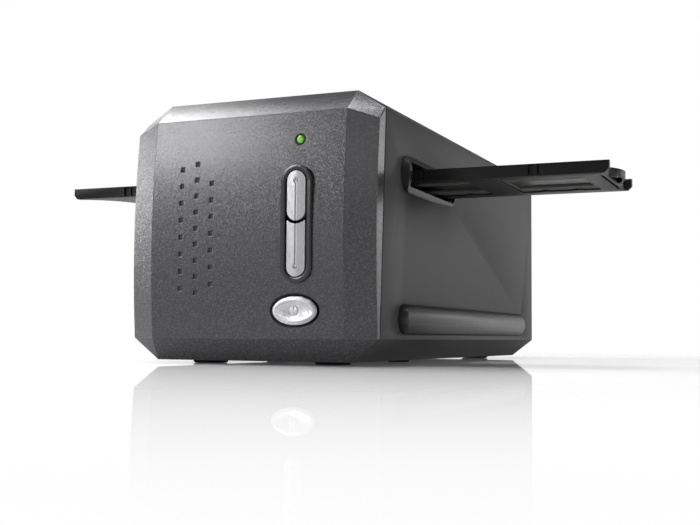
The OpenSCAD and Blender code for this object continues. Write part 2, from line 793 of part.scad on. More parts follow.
module rear_panel() color("#2c2d2f") {
    difference() {
        in_case() along_y(rear_y - wall, rear_y) polygon(case_outline(wall + cover_gap));
        block([usb_x - usb_w / 2 - 0.3, rear_y - wall - 1, board_z + board_t - 0.3],
              [usb_x + usb_w / 2 + 0.3, rear_y + 1, board_z + board_t + usb_h + 0.3]);
        block([inlet_x - inlet_w / 2 - 0.3, rear_y - wall - 1, board_z + board_t - 0.3],
              [inlet_x + inlet_w / 2 + 0.3, rear_y + 1, board_z + board_t + inlet_h + 0.3]);
        in_case() both_sides() for (at = rear_boss) translate([at[0], 0, at[1]])
            bar_y(screw_d / 2 + 0.2, rear_y - wall - 1, rear_y + 1);
        // cooling slots
        in_case() for (i = [-4 : 4])
            block([i * 6 - 1.2, rear_y - wall - 1, 24], [i * 6 + 1.2, rear_y + 1, 44]);
    }
}

lip = 6;
lip_t = 2;
base_gap = 0.3;
chassis_z = 13;
chassis_t = 1.5;
base_posts = [for (x = [chassis_left + 23, chassis_right - 20.5],
                   y = [chassis_front + 8, idler_y + 26, chassis_back - 9.5]) [x, y]];
foot_sink = 0.8;

module at_feet(large) {
    if (large) for (sx = [-1, 1], y = [foot_front_y, foot_back_y]) translate([sx * foot_x, y, 0])
        children();
    else for (sx = [-1, 1]) translate([sx * (foot_x + 3), foot_mid_y, 0]) children();
}

module base_plate() color("#2f3032") {
    difference() {
        union() {
            in_case() {
                block([-opening_half + base_gap, opening_front + base_gap, foot_h],
                      [opening_half - base_gap, opening_back - base_gap, foot_h + wall]);
                difference() {
                    block([-opening_half - lip, opening_front - 2, foot_h + wall],
                          [opening_half + lip, opening_back + 3, foot_h + wall + lip_t]);
                    block([-opening_half + 4, opening_front + 4, 0],
                          [opening_half - 4, opening_back - 4, chassis_z]);
                }
                both_sides() for (y = flange_screw_y)
                    translate([flange_screw_x, y, foot_h + wall]) cylinder(r = 2.7, h = 8);
            }
            for (at = base_posts) translate([at[0], at[1], foot_h + wall / 2])
                cylinder(r = 4, h = chassis_z - foot_h - wall / 2);
        }
        in_case() {
            both_sides() for (y = flange_screw_y)
                translate([flange_screw_x, y, foot_h]) cylinder(r = 1.2, h = 7 + wall);
            at_feet(true) cylinder(d = foot_d + 0.3, h = foot_h + foot_sink);
            at_feet(false) cylinder(d = small_foot_d + 0.3, h = foot_h + foot_sink);
            for (i = [-6 : 6]) block([-14, 30 + i * 5 - 1, 0], [14, 30 + i * 5 + 1, foot_h + wall + 1]);
        }
        for (at = base_posts) translate([at[0], at[1], foot_h + wall]) cylinder(r = 1.2, h = chassis_z);
    }
}

module foot(d) rotate_extrude() polygon([[0, 0], [d / 2 - 0.6, 0], [d / 2, 0.6],
    [d / 2, foot_h + foot_sink], [0, foot_h + foot_sink]]);

module feet_large() color("#1b1b1c") in_case() at_feet(true) foot(foot_d);
module feet_small() color("#1b1b1c") in_case() at_feet(false) foot(small_foot_d);

// Pan-head screw with its head's underside at the origin, pointing along -z
module screw(d, length, head_d, head_h) {
    translate([0, 0, -length]) cylinder(d = d, h = length + 0.1);
    difference() {
        cylinder(d = head_d, h = head_h);
        for (a = [0, 90]) rotate([0, 0, a]) translate([-head_d / 3, -0.35, head_h - 0.6])
            cube([head_d / 1.5, 0.7, 1]);
    }
}

module case_screws() color("#3a3b3d") in_case() both_sides() {
    for (y = flange_screw_y) translate([flange_screw_x, y, foot_h + 1]) rotate([180, 0, 0])
        screw(2.4, 7, 5, 0.9);
    for (at = rear_boss) translate([at[0], rear_y, at[1]]) rotate([-90, 0, 0]) screw(2.4, 10, 5.4, 1.4);
}

// ---- Slide holder ----

rail_w = 3;
rail_over = 3;
holder_right = 2 * pocket_pitch + holder_lead;
holder_left = holder_right - holder_l;
plate_right = holder_right - rail_over;
holder_front = gate_y - holder_w / 2;
holder_back = gate_y + holder_w / 2;
floor_t = 0.6;
pocket_gap = 0.3;
view_w = 37;
view_h = 43.5;
detent_w = 2.8;
detent_deep = 1;
pockets = [-1 : 2];
detents = [-2 : 2];
loop_r = 22;
loop_t = 1.4;
loop_out = 4.5;

module pocket_nubs() {
    for (sx = [-1, 1], sy = [-1, 1]) translate([sx * 7.5, sy * (view_h / 2 + 0.4), 0])
        cylinder(r = 2.6, h = floor_t - 0.05, $fn = 24);
}

module holder_base() color("#26272a") {
    difference() {
        union() {
            // rails
            for (y = [holder_front, holder_back - rail_w])
                block([holder_left, y, holder_z], [holder_right, y + rail_w, holder_z + holder_t]);
            // plate between the rails
            block([holder_left + 0.6, holder_front + 1, holder_z],
                  [plate_right, holder_back - 1, holder_z + holder_t - 1.2]);
            // pull loop at the right end
            intersection() {
                translate([plate_right + loop_out - loop_r, gate_y, holder_z + 1]) difference() {
                    cylinder(r = loop_r, h = holder_t - 1.4, $fn = 96);
                    translate([0, 0, -1]) cylinder(r = loop_r - loop_t, h = holder_t + 1, $fn = 96);
                }
                block([plate_right - 1.2, holder_front, holder_z],
                    [holder_right + 10, holder_back, holder_z + holder_t]);
            }
        }
        for (i = pockets) translate([i * pocket_pitch, gate_y, holder_z]) {
            side = slide_side + 2 * pocket_gap;
            translate([-side / 2, -side / 2, floor_t]) cube([side, side, holder_t]);
            translate([-view_w / 2, -view_h / 2, -1]) cube([view_w, view_h, holder_t]);
        }
        // webs beside the pockets are lower than the rails
        for (i = detents) translate([i * pocket_pitch, holder_front, holder_z]) {
            translate([-detent_w - 0.3, -1, 0.5]) cube([detent_w, 1 + detent_deep, holder_t - 0.9]);
            translate([0.9, -1, 0.5]) cube([1, 1 + detent_deep, holder_t - 0.9]);
        }
        // finger notch
        translate([holder_left - notch_r + notch_deep, gate_y, holder_z - 1])
            cylinder(r = notch_r, h = holder_t + 2, $fn = 96);
        // sunk field between the last pocket and the loop
        block([plate_right - 2.3, gate_y - 22, holder_z - 1],
            [plate_right - 0.9, gate_y + 22, holder_z + 1.6]);
        // guide chamfer under the leading ends of the rails
        for (x = [holder_left, holder_right]) translate([x, 0, holder_z]) rotate([0, 45, 0])
            block([-1.3, holder_front - 1, -1.3], [1.3, holder_back + 1, 1.3]);
    }
    // clips that reach over the edge of each mount from below
    for (i = pockets) translate([i * pocket_pitch, gate_y, holder_z]) difference() {
        pocket_nubs();
        translate([0, 0, floor_t + 5]) cube([view_w * 2, view_h * 2, 10], center = true);
    }
}

module slide_mounts() color("#b9b6ae") for (i = pockets)
    translate([i * pocket_pitch, gate_y, holder_z + floor_t]) difference() {
        translate([0, 0, 0]) linear_extrude(slide_t) round_rect(slide_side, slide_side, 1.5);
        translate([-film_w / 2, -film_h / 2, -1]) cube([film_w, film_h, slide_t + 2]);
    }

module film_chips() color("#241a14") for (i = pockets)
    translate([i * pocket_pitch - film_w / 2, gate_y - film_h / 2, holder_z + floor_t + slide_t / 2 - 0.1])
        cube([film_w, film_h, 0.2]);

// ---- Chassis ----

chassis_top = chassis_z + chassis_t;
wall_left = -rod_x - 8.4;
guide_t = 3.4;
guide_z = holder_z - holder_gap - guide_t;
front_shelf_z = guide_z - chassis_t;
shelf_l = 6.5;

module chassis() color("#9da1a5") {
    difference() {
        union() {
            block([chassis_left, chassis_front, chassis_z], [chassis_right, chassis_back, chassis_top]);
            // front wall with the shelf of the film guide
            block([wall_left, chassis_front, chassis_z],
                [chassis_right, chassis_front + chassis_t, guide_z]);
            block([wall_left, chassis_front, front_shelf_z],
                [chassis_right, chassis_front + shelf_l, guide_z]);
            // back wall with the shelf of the main board
            block([wall_left, chassis_back - chassis_t, chassis_z], [chassis_right, chassis_back, board_z]);
            block([wall_left, chassis_back - 11, board_z - chassis_t],
                [chassis_right, chassis_back, board_z]);
        }
        for (side = [-1, 1]) translate([side * rod_x, 0, rod_z])
            bar_y(rod_d / 2, chassis_front - 1, chassis_back + 1);
        for (at = base_posts) translate([at[0], at[1], chassis_z - 1]) cylinder(d = 3.4, h = 4);
        // lightening windows
        for (y = [chassis_front + 28, chassis_front + 72, chassis_back - 87.5, chassis_back - 47.5])
            block([-18, y - 12, chassis_z - 1], [10, y + 12, chassis_top + 1]);
        block([-14, chassis_back - 5, 40], [14, chassis_back + 1, 62]);
        for (at = board_holes) if (at[1] > chassis_back - 10) translate([at[0], at[1], board_z - 4])
            cylinder(r = 1.2, h = 8);
    }
}

module chassis_screws() color("#c2c4c7") {
    for (at = base_posts) translate([at[0], at[1], chassis_top]) screw(2.4, 7, 5.4, 1.6);
    for (at = board_holes) translate([at[0], at[1], board_z + board_t]) screw(2.4, 3, 5, 1.5);
}

bridge_y0 = holder_back - 1;
bridge_y1 = holder_back + 6;
bridge_left = wall_left;
board_front = bridge_y1 + 3;
board_back = back_y - 8;
board_holes = [for (x = [wall_left + 6, chassis_right - 6.5],
    y = [board_front + 5, chassis_back - 6.5]) [x, y]];

module gate_bridge() color("#9da1a5") {
    difference() {
        union() {
            for (x = [bridge_left, chassis_right - chassis_t])
                block([x, bridge_y0, chassis_top], [x + chassis_t, bridge_y1, guide_z]);
            block([bridge_left, bridge_y0, guide_z - chassis_t], [chassis_right, bridge_y1, guide_z]);
            // feet of the legs
            block([bridge_left - 8, bridge_y0, chassis_top],
                [bridge_left, bridge_y1, chassis_top + chassis_t]);
            // tabs under the front edge of the main board
            for (x = [bridge_left, chassis_right - 12.5]) {
                block([x, bridge_y1 - chassis_t, board_z - chassis_t],
                    [x + 12.5, board_front + 10, board_z]);
                block([x, bridge_y1 - chassis_t, board_z - chassis_t], [x + 12.5, bridge_y1, guide_z]);
            }
        }
        for (at = board_holes) if (at[1] < board_front + 10) translate([at[0], at[1], board_z - 4])
            cylinder(r = 1.2, h = 8);
    }
}

// ---- Film tunnel and lamp ----

tunnel_left = side_left + spigot_in + 0.5;
tunnel_right = side_right - spigot_in - 0.5;
fence_w = 3.2;
tunnel_front = holder_front - holder_gap;
tunnel_back = holder_back + holder_gap;
roof_z = holder_z + holder_t + holder_gap;
roof_t = 3;
gate_w = 40;
gate_h = 28;
detent_x = -pocket_pitch;

module film_guide_lower() color("#1f2022") {
    difference() {
        union() {
            block([tunnel_left, tunnel_front - fence_w, guide_z],
                [tunnel_right, tunnel_back + fence_w, guide_z + guide_t]);
            for (y = [tunnel_front - fence_w, tunnel_back])
                block([tunnel_left, y, guide_z], [tunnel_right, y + fence_w, roof_z]);
        }
        translate([0, gate_y, guide_z - 1]) linear_extrude(guide_t + 2)
            round_rect(gate_w + 4, gate_h + 4, 2);
        // pocket of the detent spring
        block([detent_x - 13, tunnel_front - fence_w - 1, holder_z],
            [detent_x + 13, tunnel_front + 1, roof_z + 1]);
    }
}

module film_guide_upper() color("#1f2022") {
    difference() {
        block([tunnel_left, tunnel_front - fence_w, roof_z],
            [tunnel_right, tunnel_back + fence_w, roof_z + roof_t]);
        translate([0, gate_y, roof_z - 1]) linear_extrude(roof_t + 2) round_rect(gate_w, gate_h, 2);
        // room for the dust flaps to swing up
        in_case() both_sides() block([hinge_x - flap_l - 1.5, ear_y0 - 0.8, roof_z - 1],
                                     [case_half, ear_y1 + ear_t + 0.6, roof_z + roof_t + 1]);
    }
}

leaf_t = 0.4;

module detent_spring() color("#c6c8ca") {
    // bent leaf whose nose drops into a notch of the front rail
    y = tunnel_front - 1.4;
    nose = holder_front + 0.6;
    x0 = detent_x - detent_w / 2 - 0.3;
    translate([x0, 0, holder_z + 1]) linear_extrude(3) polygon([
        [-11, y], [-3, y], [-0.9, nose - 0.35], [0, nose], [0.9, nose - 0.35], [3, y], [11, y],
        [11, y - leaf_t], [3.2, y - leaf_t], [1, nose - 0.35 - leaf_t], [0, nose - leaf_t],
        [-1, nose - 0.35 - leaf_t], [-3.2, y - leaf_t], [-11, y - leaf_t]]);
    for (x = [-11, 9]) block([x0 + x, tunnel_front - fence_w, holder_z],
                               [x0 + x + 2, y - leaf_t / 2, holder_z + 4.2]);
}

lamp_z0 = roof_z + roof_t;
lamp_room = 10.4;
lamp_h = case_h - wall - lamp_room - board_t - lamp_z0;
lamp_wall = 1.8;
diffuser_t = 2;

module lamp_housing() color("#e4e4e0") {
    translate([0, gate_y, lamp_z0]) difference() {
        translate([-gate_w / 2 - 5, -gate_h / 2 - 5, 0]) cube([gate_w + 10, gate_h + 10, lamp_h]);
        // light chamber
        translate([-gate_w / 2, -gate_h / 2, -1]) cube([gate_w, gate_h, lamp_h + 2]);
        // seat of the diffuser
        translate([-gate_w / 2 - 2, -gate_h / 2 - 2, -1]) cube([gate_w + 4, gate_h + 4, diffuser_t + 1]);
    }
}

module diffuser() color("#f4f4f0", 0.8) {
    translate([-gate_w / 2 - 1.9, gate_y - gate_h / 2 - 1.9, lamp_z0])
        cube([gate_w + 3.8, gate_h + 3.8, diffuser_t - 0.05]);
}

module led_board() color("#1f6b3c") {
    z = lamp_z0 + lamp_h;
    translate([-gate_w / 2 - 5, gate_y - gate_h / 2 - 5, z]) cube([gate_w + 10, gate_h + 10, board_t]);
    for (i = [-2 : 2], j = [-1 : 1]) translate([i * 7.6 - 1.4, gate_y + j * 8 - 1.4, z - 0.8])
        cube([2.8, 2.8, 0.9]);
}

// ---- Optical carriage ----

scan_y = gate_y - 13;
tray_front = scan_y - 17;
tray_back = back_y - 49;
tray_z0 = 42.4;
tray_floor = 2;
tray_z1 = 66;
mirror_w = 2 * tray_half_w - 10;
mirror_l = 22;
mirror_t = 1.5;
ccd_y = tray_back - 5.5;
lens_y0 = ccd_y - 73.5;
lens_y1 = lens_y0 + 26;
lens_r = 10;
glass_r = 7.5;
cable_w = 18;
cable_t = 0.4;
standoff_x = tray_half_w - 7;
light_half = tray_half_w - 6;
sensor_half = tray_half_w - 8;
cable_y = ccd_y + board_t + 0.2;
cable_loop_y = ccd_y - 37.5;
cable_top_l = 22;
bush_r = 4.5;
bush_l = 10;
lug_half = 3.8;
lug_z1 = rod_z + 6.4;
lug_back = motor_y - 48;
lugs = [[-1, tray_front + 7], [-1, lug_back], [1, lug_back - 52]];

module carriage_tray() color("#232427") {
    difference() {
        union() {
            difference() {
                block([-tray_half_w, tray_front, tray_z0], [tray_half_w, tray_back, tray_z1]);
                block([-tray_half_w + tray_wall, tray_front + tray_wall, tray_z0 + tray_floor],
                      [tray_half_w - tray_wall, tray_back - tray_wall, tray_z1 + 1]);
            }
            // seat of the mirror
            along_x(-tray_half_w + 1, tray_half_w - 1) polygon([
                [tray_front + 1, tray_z0 + 1],
                [scan_y + 9.4 - mirror_t * sqrt(2), tray_z0 + 1],
                [scan_y + axis_z - tray_z0 - tray_floor - mirror_t * sqrt(2), tray_z0 + tray_floor],
                [scan_y - (tray_z1 - 3 - axis_z) - mirror_t * sqrt(2), tray_z1 - 3],
                [tray_front + 1, tray_z1 - 3]]);
            // cradle of the lens
            block([-lens_r - 3, lens_y0 + 3, tray_z0 + 1], [lens_r + 3, lens_y1 - 3, axis_z - 2]);
            // standoffs of the sensor board
            for (side = [-1, 1]) translate([side * standoff_x, 0, axis_z])
                bar_y(2.4, ccd_y + board_t, tray_back - 1);
            for (lug = lugs) block([lug[0] > 0 ? tray_half_w - 1 : -rod_x - lug_half, lug[1], rod_z - 5.6],
                                   [lug[0] > 0 ? rod_x + lug_half : -tray_half_w + 1,
                                       lug[1] + bush_l + 2, lug_z1]);
        }
        for (lug = lugs) translate([lug[0] * rod_x, 0, rod_z]) {
            bar_y(bush_r + 0.02, lug[1] + 1, lug[1] + 1 + bush_l);
            bar_y(rod_d / 2 + 0.4, lug[1] - 1, lug[1] + bush_l + 3);
        }
        translate([0, 0, axis_z]) bar_y(lens_r + 0.05, lens_y0, lens_y1);
    }
}

module carriage_cover() color("#2a2b2e") {
    difference() {
        block([-tray_half_w, tray_front, tray_z1], [tray_half_w, tray_back, tray_z1 + 1.2]);
        block([-light_half, scan_y - 4, tray_z1 - 1], [light_half, scan_y + 4, tray_z1 + 3]);
        for (i = [0 : 4]) block([-16, lens_y0 + i * 10, tray_z1 - 1],
            [16, lens_y0 + 4 + i * 10, tray_z1 + 3]);
        block([-cable_w / 2 - 1, cable_y - 1, tray_z1 - 1], [cable_w / 2 + 1, cable_y + 1.3, tray_z1 + 3]);
    }
}

module scan_mirror() color("#cfd8dc") translate([0, scan_y, axis_z]) rotate([-45, 0, 0])
    translate([-mirror_w / 2, -mirror_l / 2, -mirror_t]) cube([mirror_w, mirror_l, mirror_t]);

module lens_barrel() color("#18191b") translate([0, 0, axis_z]) difference() {
    bar_y(lens_r, lens_y0, lens_y1);
    bar_y(glass_r, lens_y0 - 1, lens_y1 + 1);
    // focus groove
    difference() {
        bar_y(lens_r + 1, lens_y1 - 2.4, lens_y1 - 1.2);
        bar_y(lens_r - 0.7, lens_y1 - 3, lens_y1);
    }
}

module lens_glass() color("#9fc4d8", 0.5) translate([0, 0, axis_z]) for (y = [lens_y0 + 2, lens_y1 - 5])
    bar_y(glass_r, y, y + 3);

module ccd_board() color("#1f6b3c") difference() {
    block([-tray_half_w + 2.5, ccd_y, tray_z0 + tray_floor + 0.3],
        [tray_half_w - 2.5, ccd_y + board_t, tray_z1 - 1]);
    for (side = [-1, 1]) translate([side * standoff_x, 0, axis_z]) bar_y(1.1, ccd_y - 1, ccd_y + 3);
}

module ccd_sensor() color("#3b3733") {
    difference() {
        block([-sensor_half, ccd_y - 3, axis_z - 4.8], [sensor_half, ccd_y, axis_z + 4.8]);
        block([-sensor_half + 4, ccd_y - 4, axis_z - 1.5], [sensor_half - 4, ccd_y - 2.4, axis_z + 1.5]);
    }
}

module guide_rods() color("#c9ccd0") for (side = [-1, 1]) translate([side * rod_x, 0, rod_z])
    bar_y(rod_d / 2, chassis_front - 1, chassis_back + 1);

module rod_bushes() color("#a9854a") for (lug = lugs) translate([lug[0] * rod_x, 0, rod_z]) difference() {
    bar_y(bush_r, lug[1] + 1, lug[1] + 1 + bush_l);
    bar_y(rod_d / 2 + rod_clear, lug[1], lug[1] + bush_l + 2);
}

// ---- Belt drive ----

pulley_r = pulley_teeth * belt_pitch / (2 * PI) - 0.25;
belt_in = pulley_r + 0.1;
flange_r = belt_in + belt_t + 1.2;
clamp_gap = 0.25;
clamp_y0 = lug_back + 1.5;
clamp_y1 = lug_back + 10.5;
inner_run_x = -drive_x + belt_in;
pulley_z0 = belt_z - belt_w / 2 - 1.6;
pulley_z1 = belt_z + belt_w / 2 + 1.6;

module belt_clamp() color("#4d5054") {
    difference() {
        union() {
            // arm from the carriage's left lug
            block([inner_run_x - 3, clamp_y0, lug_z1 - 2.6], [-rod_x - lug_half, clamp_y1, lug_z1]);
            // jaws on both sides of the belt
            block([inner_run_x - 3, clamp_y0, belt_z - belt_w / 2],
                [inner_run_x - clamp_gap, clamp_y1, lug_z1]);
            block([inner_run_x + belt_t + clamp_gap, clamp_y0, belt_z - belt_w / 2],
                  [inner_run_x + belt_t + 3, clamp_y1, lug_z1]);
        }
    }
}

module pulley(bore) {
    difference() {
        union() {
            translate([0, 0, pulley_z0]) cylinder(r = flange_r, h = 1.2);
            translate([0, 0, pulley_z1 - 1.2]) cylinder(r = flange_r, h = 1.2);
            translate([0, 0, pulley_z0]) linear_extrude(pulley_z1 - pulley_z0) difference() {
                circle(r = pulley_r);
                for (i = [0 : pulley_teeth - 1]) rotate(360 * i / pulley_teeth)
                    translate([pulley_r, 0]) circle(r = 0.5, $fn = 16);
            }
        }
        translate([0, 0, pulley_z0 - 1]) cylinder(r = bore, h = pulley_z1 - pulley_z0 + 2);
    }
}

shaft_r = 1.5;
motor_r = 12.5;
motor_z0 = chassis_top;
motor_h = 19;
plate_z = motor_z0 + motor_h;

module drive_pulley() color("#b9a05c") translate([-drive_x, motor_y, 0]) {
    pulley(shaft_r);
    // motor shaft, pressed into the pulley
    translate([0, 0, plate_z + 0.3]) cylinder(r = shaft_r, h = pulley_z1 + 2 - plate_z);
}

module idler_pulley() color("#d8d8d2") translate([-drive_x, idler_y, 0]) pulley(1.5 + 0.05);

module motor() color("#a7abae") translate([-drive_x, motor_y, motor_z0]) {
    cylinder(r = motor_r, h = motor_h);
    translate([0, 0, motor_h - 1]) linear_extrude(1) {
        square([7, 34.5], center = true);
        for (side = [-1, 1]) translate([0, side * 17.25]) circle(r = 3.5);
    }
}

module motor_bracket() color("#8f9396") translate([-drive_x, motor_y, 0]) {
    leg_x = motor_r + 2;
    difference() {
        union() {
            translate([0, 0, plate_z]) linear_extrude(1.5) round_rect(2 * leg_x + 1.5, 44, 3);
            for (side = [-1, 1]) {
                foot_w = side > 0 ? 6 : 3;
                block([side * leg_x - 0.75, -10, chassis_top], [side * leg_x + 0.75, 10, plate_z + 0.5]);
                block([side > 0 ? leg_x : -leg_x - foot_w, -10, chassis_top],
                      [side > 0 ? leg_x + foot_w : -leg_x, 10, chassis_top + 1.5]);
            }
        }
        translate([0, 0, plate_z - 1]) cylinder(r = 4, h = 4);
        for (side = [-1, 1]) translate([0, side * 17.25, plate_z - 1]) cylinder(r = 1.6, h = 4);
    }
}

module idler_bracket() color("#8f9396") translate([-drive_x, idler_y, 0]) {
    block([-9, -9, chassis_top], [9, 9, chassis_top + 1.5]);
    translate([0, 0, chassis_top]) cylinder(r = 4.5, h = pulley_z0 - 0.3 - chassis_top);
    translate([0, 0, chassis_top]) cylinder(r = 1.5, h = pulley_z1 + 2 - chassis_top);
    translate([0, 0, pulley_z1 + 0.4]) cylinder(r = 3, h = 0.8);
}

module belt_loop(r) {
    translate([-r, idler_y]) square([2 * r, motor_y - idler_y]);
    for (y = [idler_y, motor_y]) translate([0, y]) circle(r = r);
}

module drive_belt() color("#17181a") translate([-drive_x, 0, belt_z - belt_w / 2])
    linear_extrude(belt_w) difference() {
    belt_loop(belt_in + belt_t);
    belt_loop(belt_in);
}

// ---- Electronics ----

module main_board() color("#1c5c36") difference() {
    block([wall_left, board_front, board_z], [chassis_right - 2, board_back, board_z + board_t]);
    for (at = board_holes) translate([at[0], at[1], board_z - 1]) cylinder(d = 2.8, h = 4);
}

// Chips and connectors: place and size
chips = [[-6, 40, 20, 20, 1.8], [-28, 44, 12, 18, 1.4], [14, 66, 10, 10, 1.4], [-22, 80, 8, 6, 1.6],
    [10, 24, 7, 7, 1.2], [-30, 8, 22, 6, 5.5], [8, 2, 26, 5, 5.5], [24, board_back - 36, 8, 12, 1.6]];
capacitors = [[-6, board_back - 36, 4], [2, board_back - 26, 4], [26, 60, 3.2],
    [-34, board_back - 32, 3.2]];

module board_parts() color("#222325") {
    for (c = chips) translate([c[0], c[1], board_z + board_t]) cube([c[2], c[3], c[4]]);
    for (c = capacitors) translate([c[0], c[1], board_z + board_t]) cylinder(r = c[2], h = 9);
    // connector of the flat cable
    block([-cable_w / 2 - 2, cable_loop_y + cable_top_l + 0.2, board_z - 2.6],
          [cable_w / 2 + 2, cable_loop_y + cable_top_l + 5, board_z]);
}

module usb_socket() color("#c4c6c8") {
    z = board_z + board_t;
    y1 = rear_y - 0.2;
    difference() {
        block([usb_x - usb_w / 2, y1 - 16.5, z], [usb_x + usb_w / 2, y1, z + usb_h]);
        translate([0, 0, z + usb_h / 2]) along_y(y1 - 9, y1 + 1) polygon([
            [usb_x - 4.2, -3.9], [usb_x + 4.2, -3.9], [usb_x + 4.2, 2.4], [usb_x + 2.6, 3.9],
            [usb_x - 2.6, 3.9], [usb_x - 4.2, 2.4]]);
    }
    block([usb_x - 2.8, y1 - 10, z + usb_h / 2 - 1.6], [usb_x + 2.8, y1 - 1, z + usb_h / 2 + 1.6]);
}

module power_inlet() color("#1a1a1c") {
    z = board_z + board_t;
    y1 = rear_y - 0.2;
    difference() {
        block([inlet_x - inlet_w / 2, y1 - 14.2, z], [inlet_x + inlet_w / 2, y1, z + inlet_h]);
        translate([inlet_x, 0, z + inlet_h / 2 + 0.6]) bar_y(inlet_bore / 2, y1 - 9.5, y1 + 1);
    }
    translate([inlet_x, 0, z + inlet_h / 2 + 0.6]) bar_y(1, y1 - 10, y1 - 1);
}

switch_z = [scan_upper_z, scan_lower_z, power_z];
switch_x = [button_x, button_x, power_x];

module switch_board() color("#1f6b3c") in_case() difference() {
    block([button_x - board_post_x - 3.5, board_y, power_z - 8],
        [button_x + board_post_x + 3.5, board_y + board_t, lamp_z + 7]);
    button_posts() bar_y(1.2, board_y - 1, board_y + 3);
}

module tact_switches() color("#2a2b2d") in_case() for (i = [0 : 2])
    translate([switch_x[i], 0, switch_z[i]]) {
    block([-3, board_y - switch_h, -3], [3, board_y, 3]);
    bar_y(1.7, board_y - switch_h - plunger_h, board_y - switch_h);
}

module return_spring(x, z, y0) in_case() translate([x, board_y - 0.05, z]) rotate([90, 0, 0])
    coil(4.75, 0.25, 4.5, board_y - 0.1 - y0);

module spring_upper() color("#c6c8ca") return_spring(button_x, scan_upper_z, flange_y + flange_t);
module spring_lower() color("#c6c8ca") return_spring(button_x, scan_lower_z, flange_y + flange_t);
module spring_power() color("#c6c8ca") return_spring(power_x, power_z, power_back_y + flange_t);

module flat_cable() color("#d9d9d2") along_x(-cable_w / 2, cable_w / 2) {
    low_z = tray_z1 + 3;
    high_z = board_z - 1.6;
    turn_r = (high_z - low_z) / 2;
    // up from the sensor board, forward, round the loop and back to its connector
    translate([cable_y, tray_z1 - 3]) square([cable_t, low_z + cable_t - tray_z1 + 3]);
    translate([cable_loop_y, low_z]) square([cable_y - cable_loop_y, cable_t]);
    translate([cable_loop_y, high_z]) square([cable_top_l, cable_t]);
    difference() {
        translate([cable_loop_y, (low_z + high_z + cable_t) / 2]) circle(r = turn_r + cable_t / 2);
        translate([cable_loop_y, (low_z + high_z + cable_t) / 2]) circle(r = turn_r - cable_t / 2);
        translate([cable_loop_y, 0]) square([20, case_h]);
    }
}

front_bezel();
button_frame();
scan_button_upper();
scan_button_lower();
power_button();
indicator_lens();
indicator_ring();
sleeve();
slot_collar_right();
slot_collar_left();
grip_right();
grip_left();
dust_flap_right();
dust_flap_left();
flap_pins();
flap_spring_right();
flap_spring_left();
rear_panel();
base_plate();
feet_large();
feet_small();
case_screws();
holder_base();
slide_mounts();
film_chips();
chassis();
chassis_screws();
gate_bridge();
film_guide_lower();
film_guide_upper();
detent_spring();
lamp_housing();
diffuser();
led_board();
carriage_tray();
carriage_cover();
scan_mirror();
lens_barrel();
lens_glass();
ccd_board();
ccd_sensor();
guide_rods();
rod_bushes();
belt_clamp();
motor();
motor_bracket();
drive_pulley();
idler_pulley();
idler_bracket();
drive_belt();
main_board();
board_parts();
usb_socket();
power_inlet();
switch_board();
tact_switches();
spring_upper();
spring_lower();
spring_power();
flat_cable();
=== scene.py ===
import math

import bmesh
import bpy
from mathutils import Matrix, Vector


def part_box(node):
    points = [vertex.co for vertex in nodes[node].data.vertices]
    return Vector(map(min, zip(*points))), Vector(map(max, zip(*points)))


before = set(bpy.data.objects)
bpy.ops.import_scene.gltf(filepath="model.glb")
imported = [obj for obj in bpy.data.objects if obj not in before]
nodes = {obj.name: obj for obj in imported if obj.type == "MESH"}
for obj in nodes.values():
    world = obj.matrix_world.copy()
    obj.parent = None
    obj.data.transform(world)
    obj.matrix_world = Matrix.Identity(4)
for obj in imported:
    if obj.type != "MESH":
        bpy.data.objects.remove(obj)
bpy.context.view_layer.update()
print("frame loaded:", len(nodes), "nodes")

mm = 0.001
caseX = -16.4 * mm  # middle of the case, left of the film gate
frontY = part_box("front_bezel")[0][1]


def linearColour(hexText):
    # sRGB hex to the linear values that shaders work in
    values = [int(hexText[i : i + 2], 16) / 255 for i in (1, 3, 5)]
    return tuple(v / 12.92 if v <= 0.04045 else ((v + 0.055) / 1.055) ** 2.4 for v in values) + (1.0,)


def addNode(tree, kind, settings=None, links=None):
    # a key that names an input sets the input, any other key sets a property
    node = tree.nodes.new(kind)
    for key, value in (settings or {}).items():
        if isinstance(key, int) or key in node.inputs:
            node.inputs[key].default_value = value
        else:
            setattr(node, key, value)
    for key, source in (links or {}).items():
        tree.links.new(source, node.inputs[key])
    return node


def startMaterial(name, hexText, roughness, metallic=0.0):
    material = bpy.data.materials.new(name)
    material.use_nodes = True
    tree = material.node_tree
    tree.nodes.clear()
    shader = addNode(
        tree,
        "ShaderNodeBsdfPrincipled",
        {"Base Color": linearColour(hexText), "Roughness": roughness, "Metallic": metallic},
    )
    addNode(tree, "ShaderNodeOutputMaterial", links={"Surface": shader.outputs["BSDF"]})
    place = addNode(tree, "ShaderNodeTexCoord").outputs["Object"]
    material.diffuse_color = linearColour(hexText)
    return material, tree, shader, place


def grainScale(millimetres):
    # texture scale at which one cell or bump is that wide
    return 1 / (millimetres * mm)


def paint(names, material):
    for name in names:
        slots = nodes[name].data.materials
        slots.clear()
        slots.append(material)


def crowned(tree, place, look):
    # the bevel above the face is slightly crowned: it leans forward at the crease
    # and back at its rear edge
    height = addNode(tree, "ShaderNodeSeparateXYZ", links={0: place}).outputs["Z"]
    lean = addNode(
        tree,
        "ShaderNodeMapRange",
        {
            "From Min": look["crownFromMm"] * mm,
            "From Max": look["crownToMm"] * mm,
            "To Min": look["crown"][0],
            "To Max": look["crown"][1],
        },
        {"Value": height},
    )
    above = addNode(
        tree, "ShaderNodeMath", {"operation": "GREATER_THAN", 1: look["crownFromMm"] * mm}, {0: height}
    )
    amount = addNode(
        tree, "ShaderNodeMath", {"operation": "MULTIPLY"}, {0: lean.outputs[0], 1: above.outputs[0]}
    )
    return addNode(tree, "ShaderNodeCombineXYZ", links={"Y": amount.outputs[0]}).outputs[0]


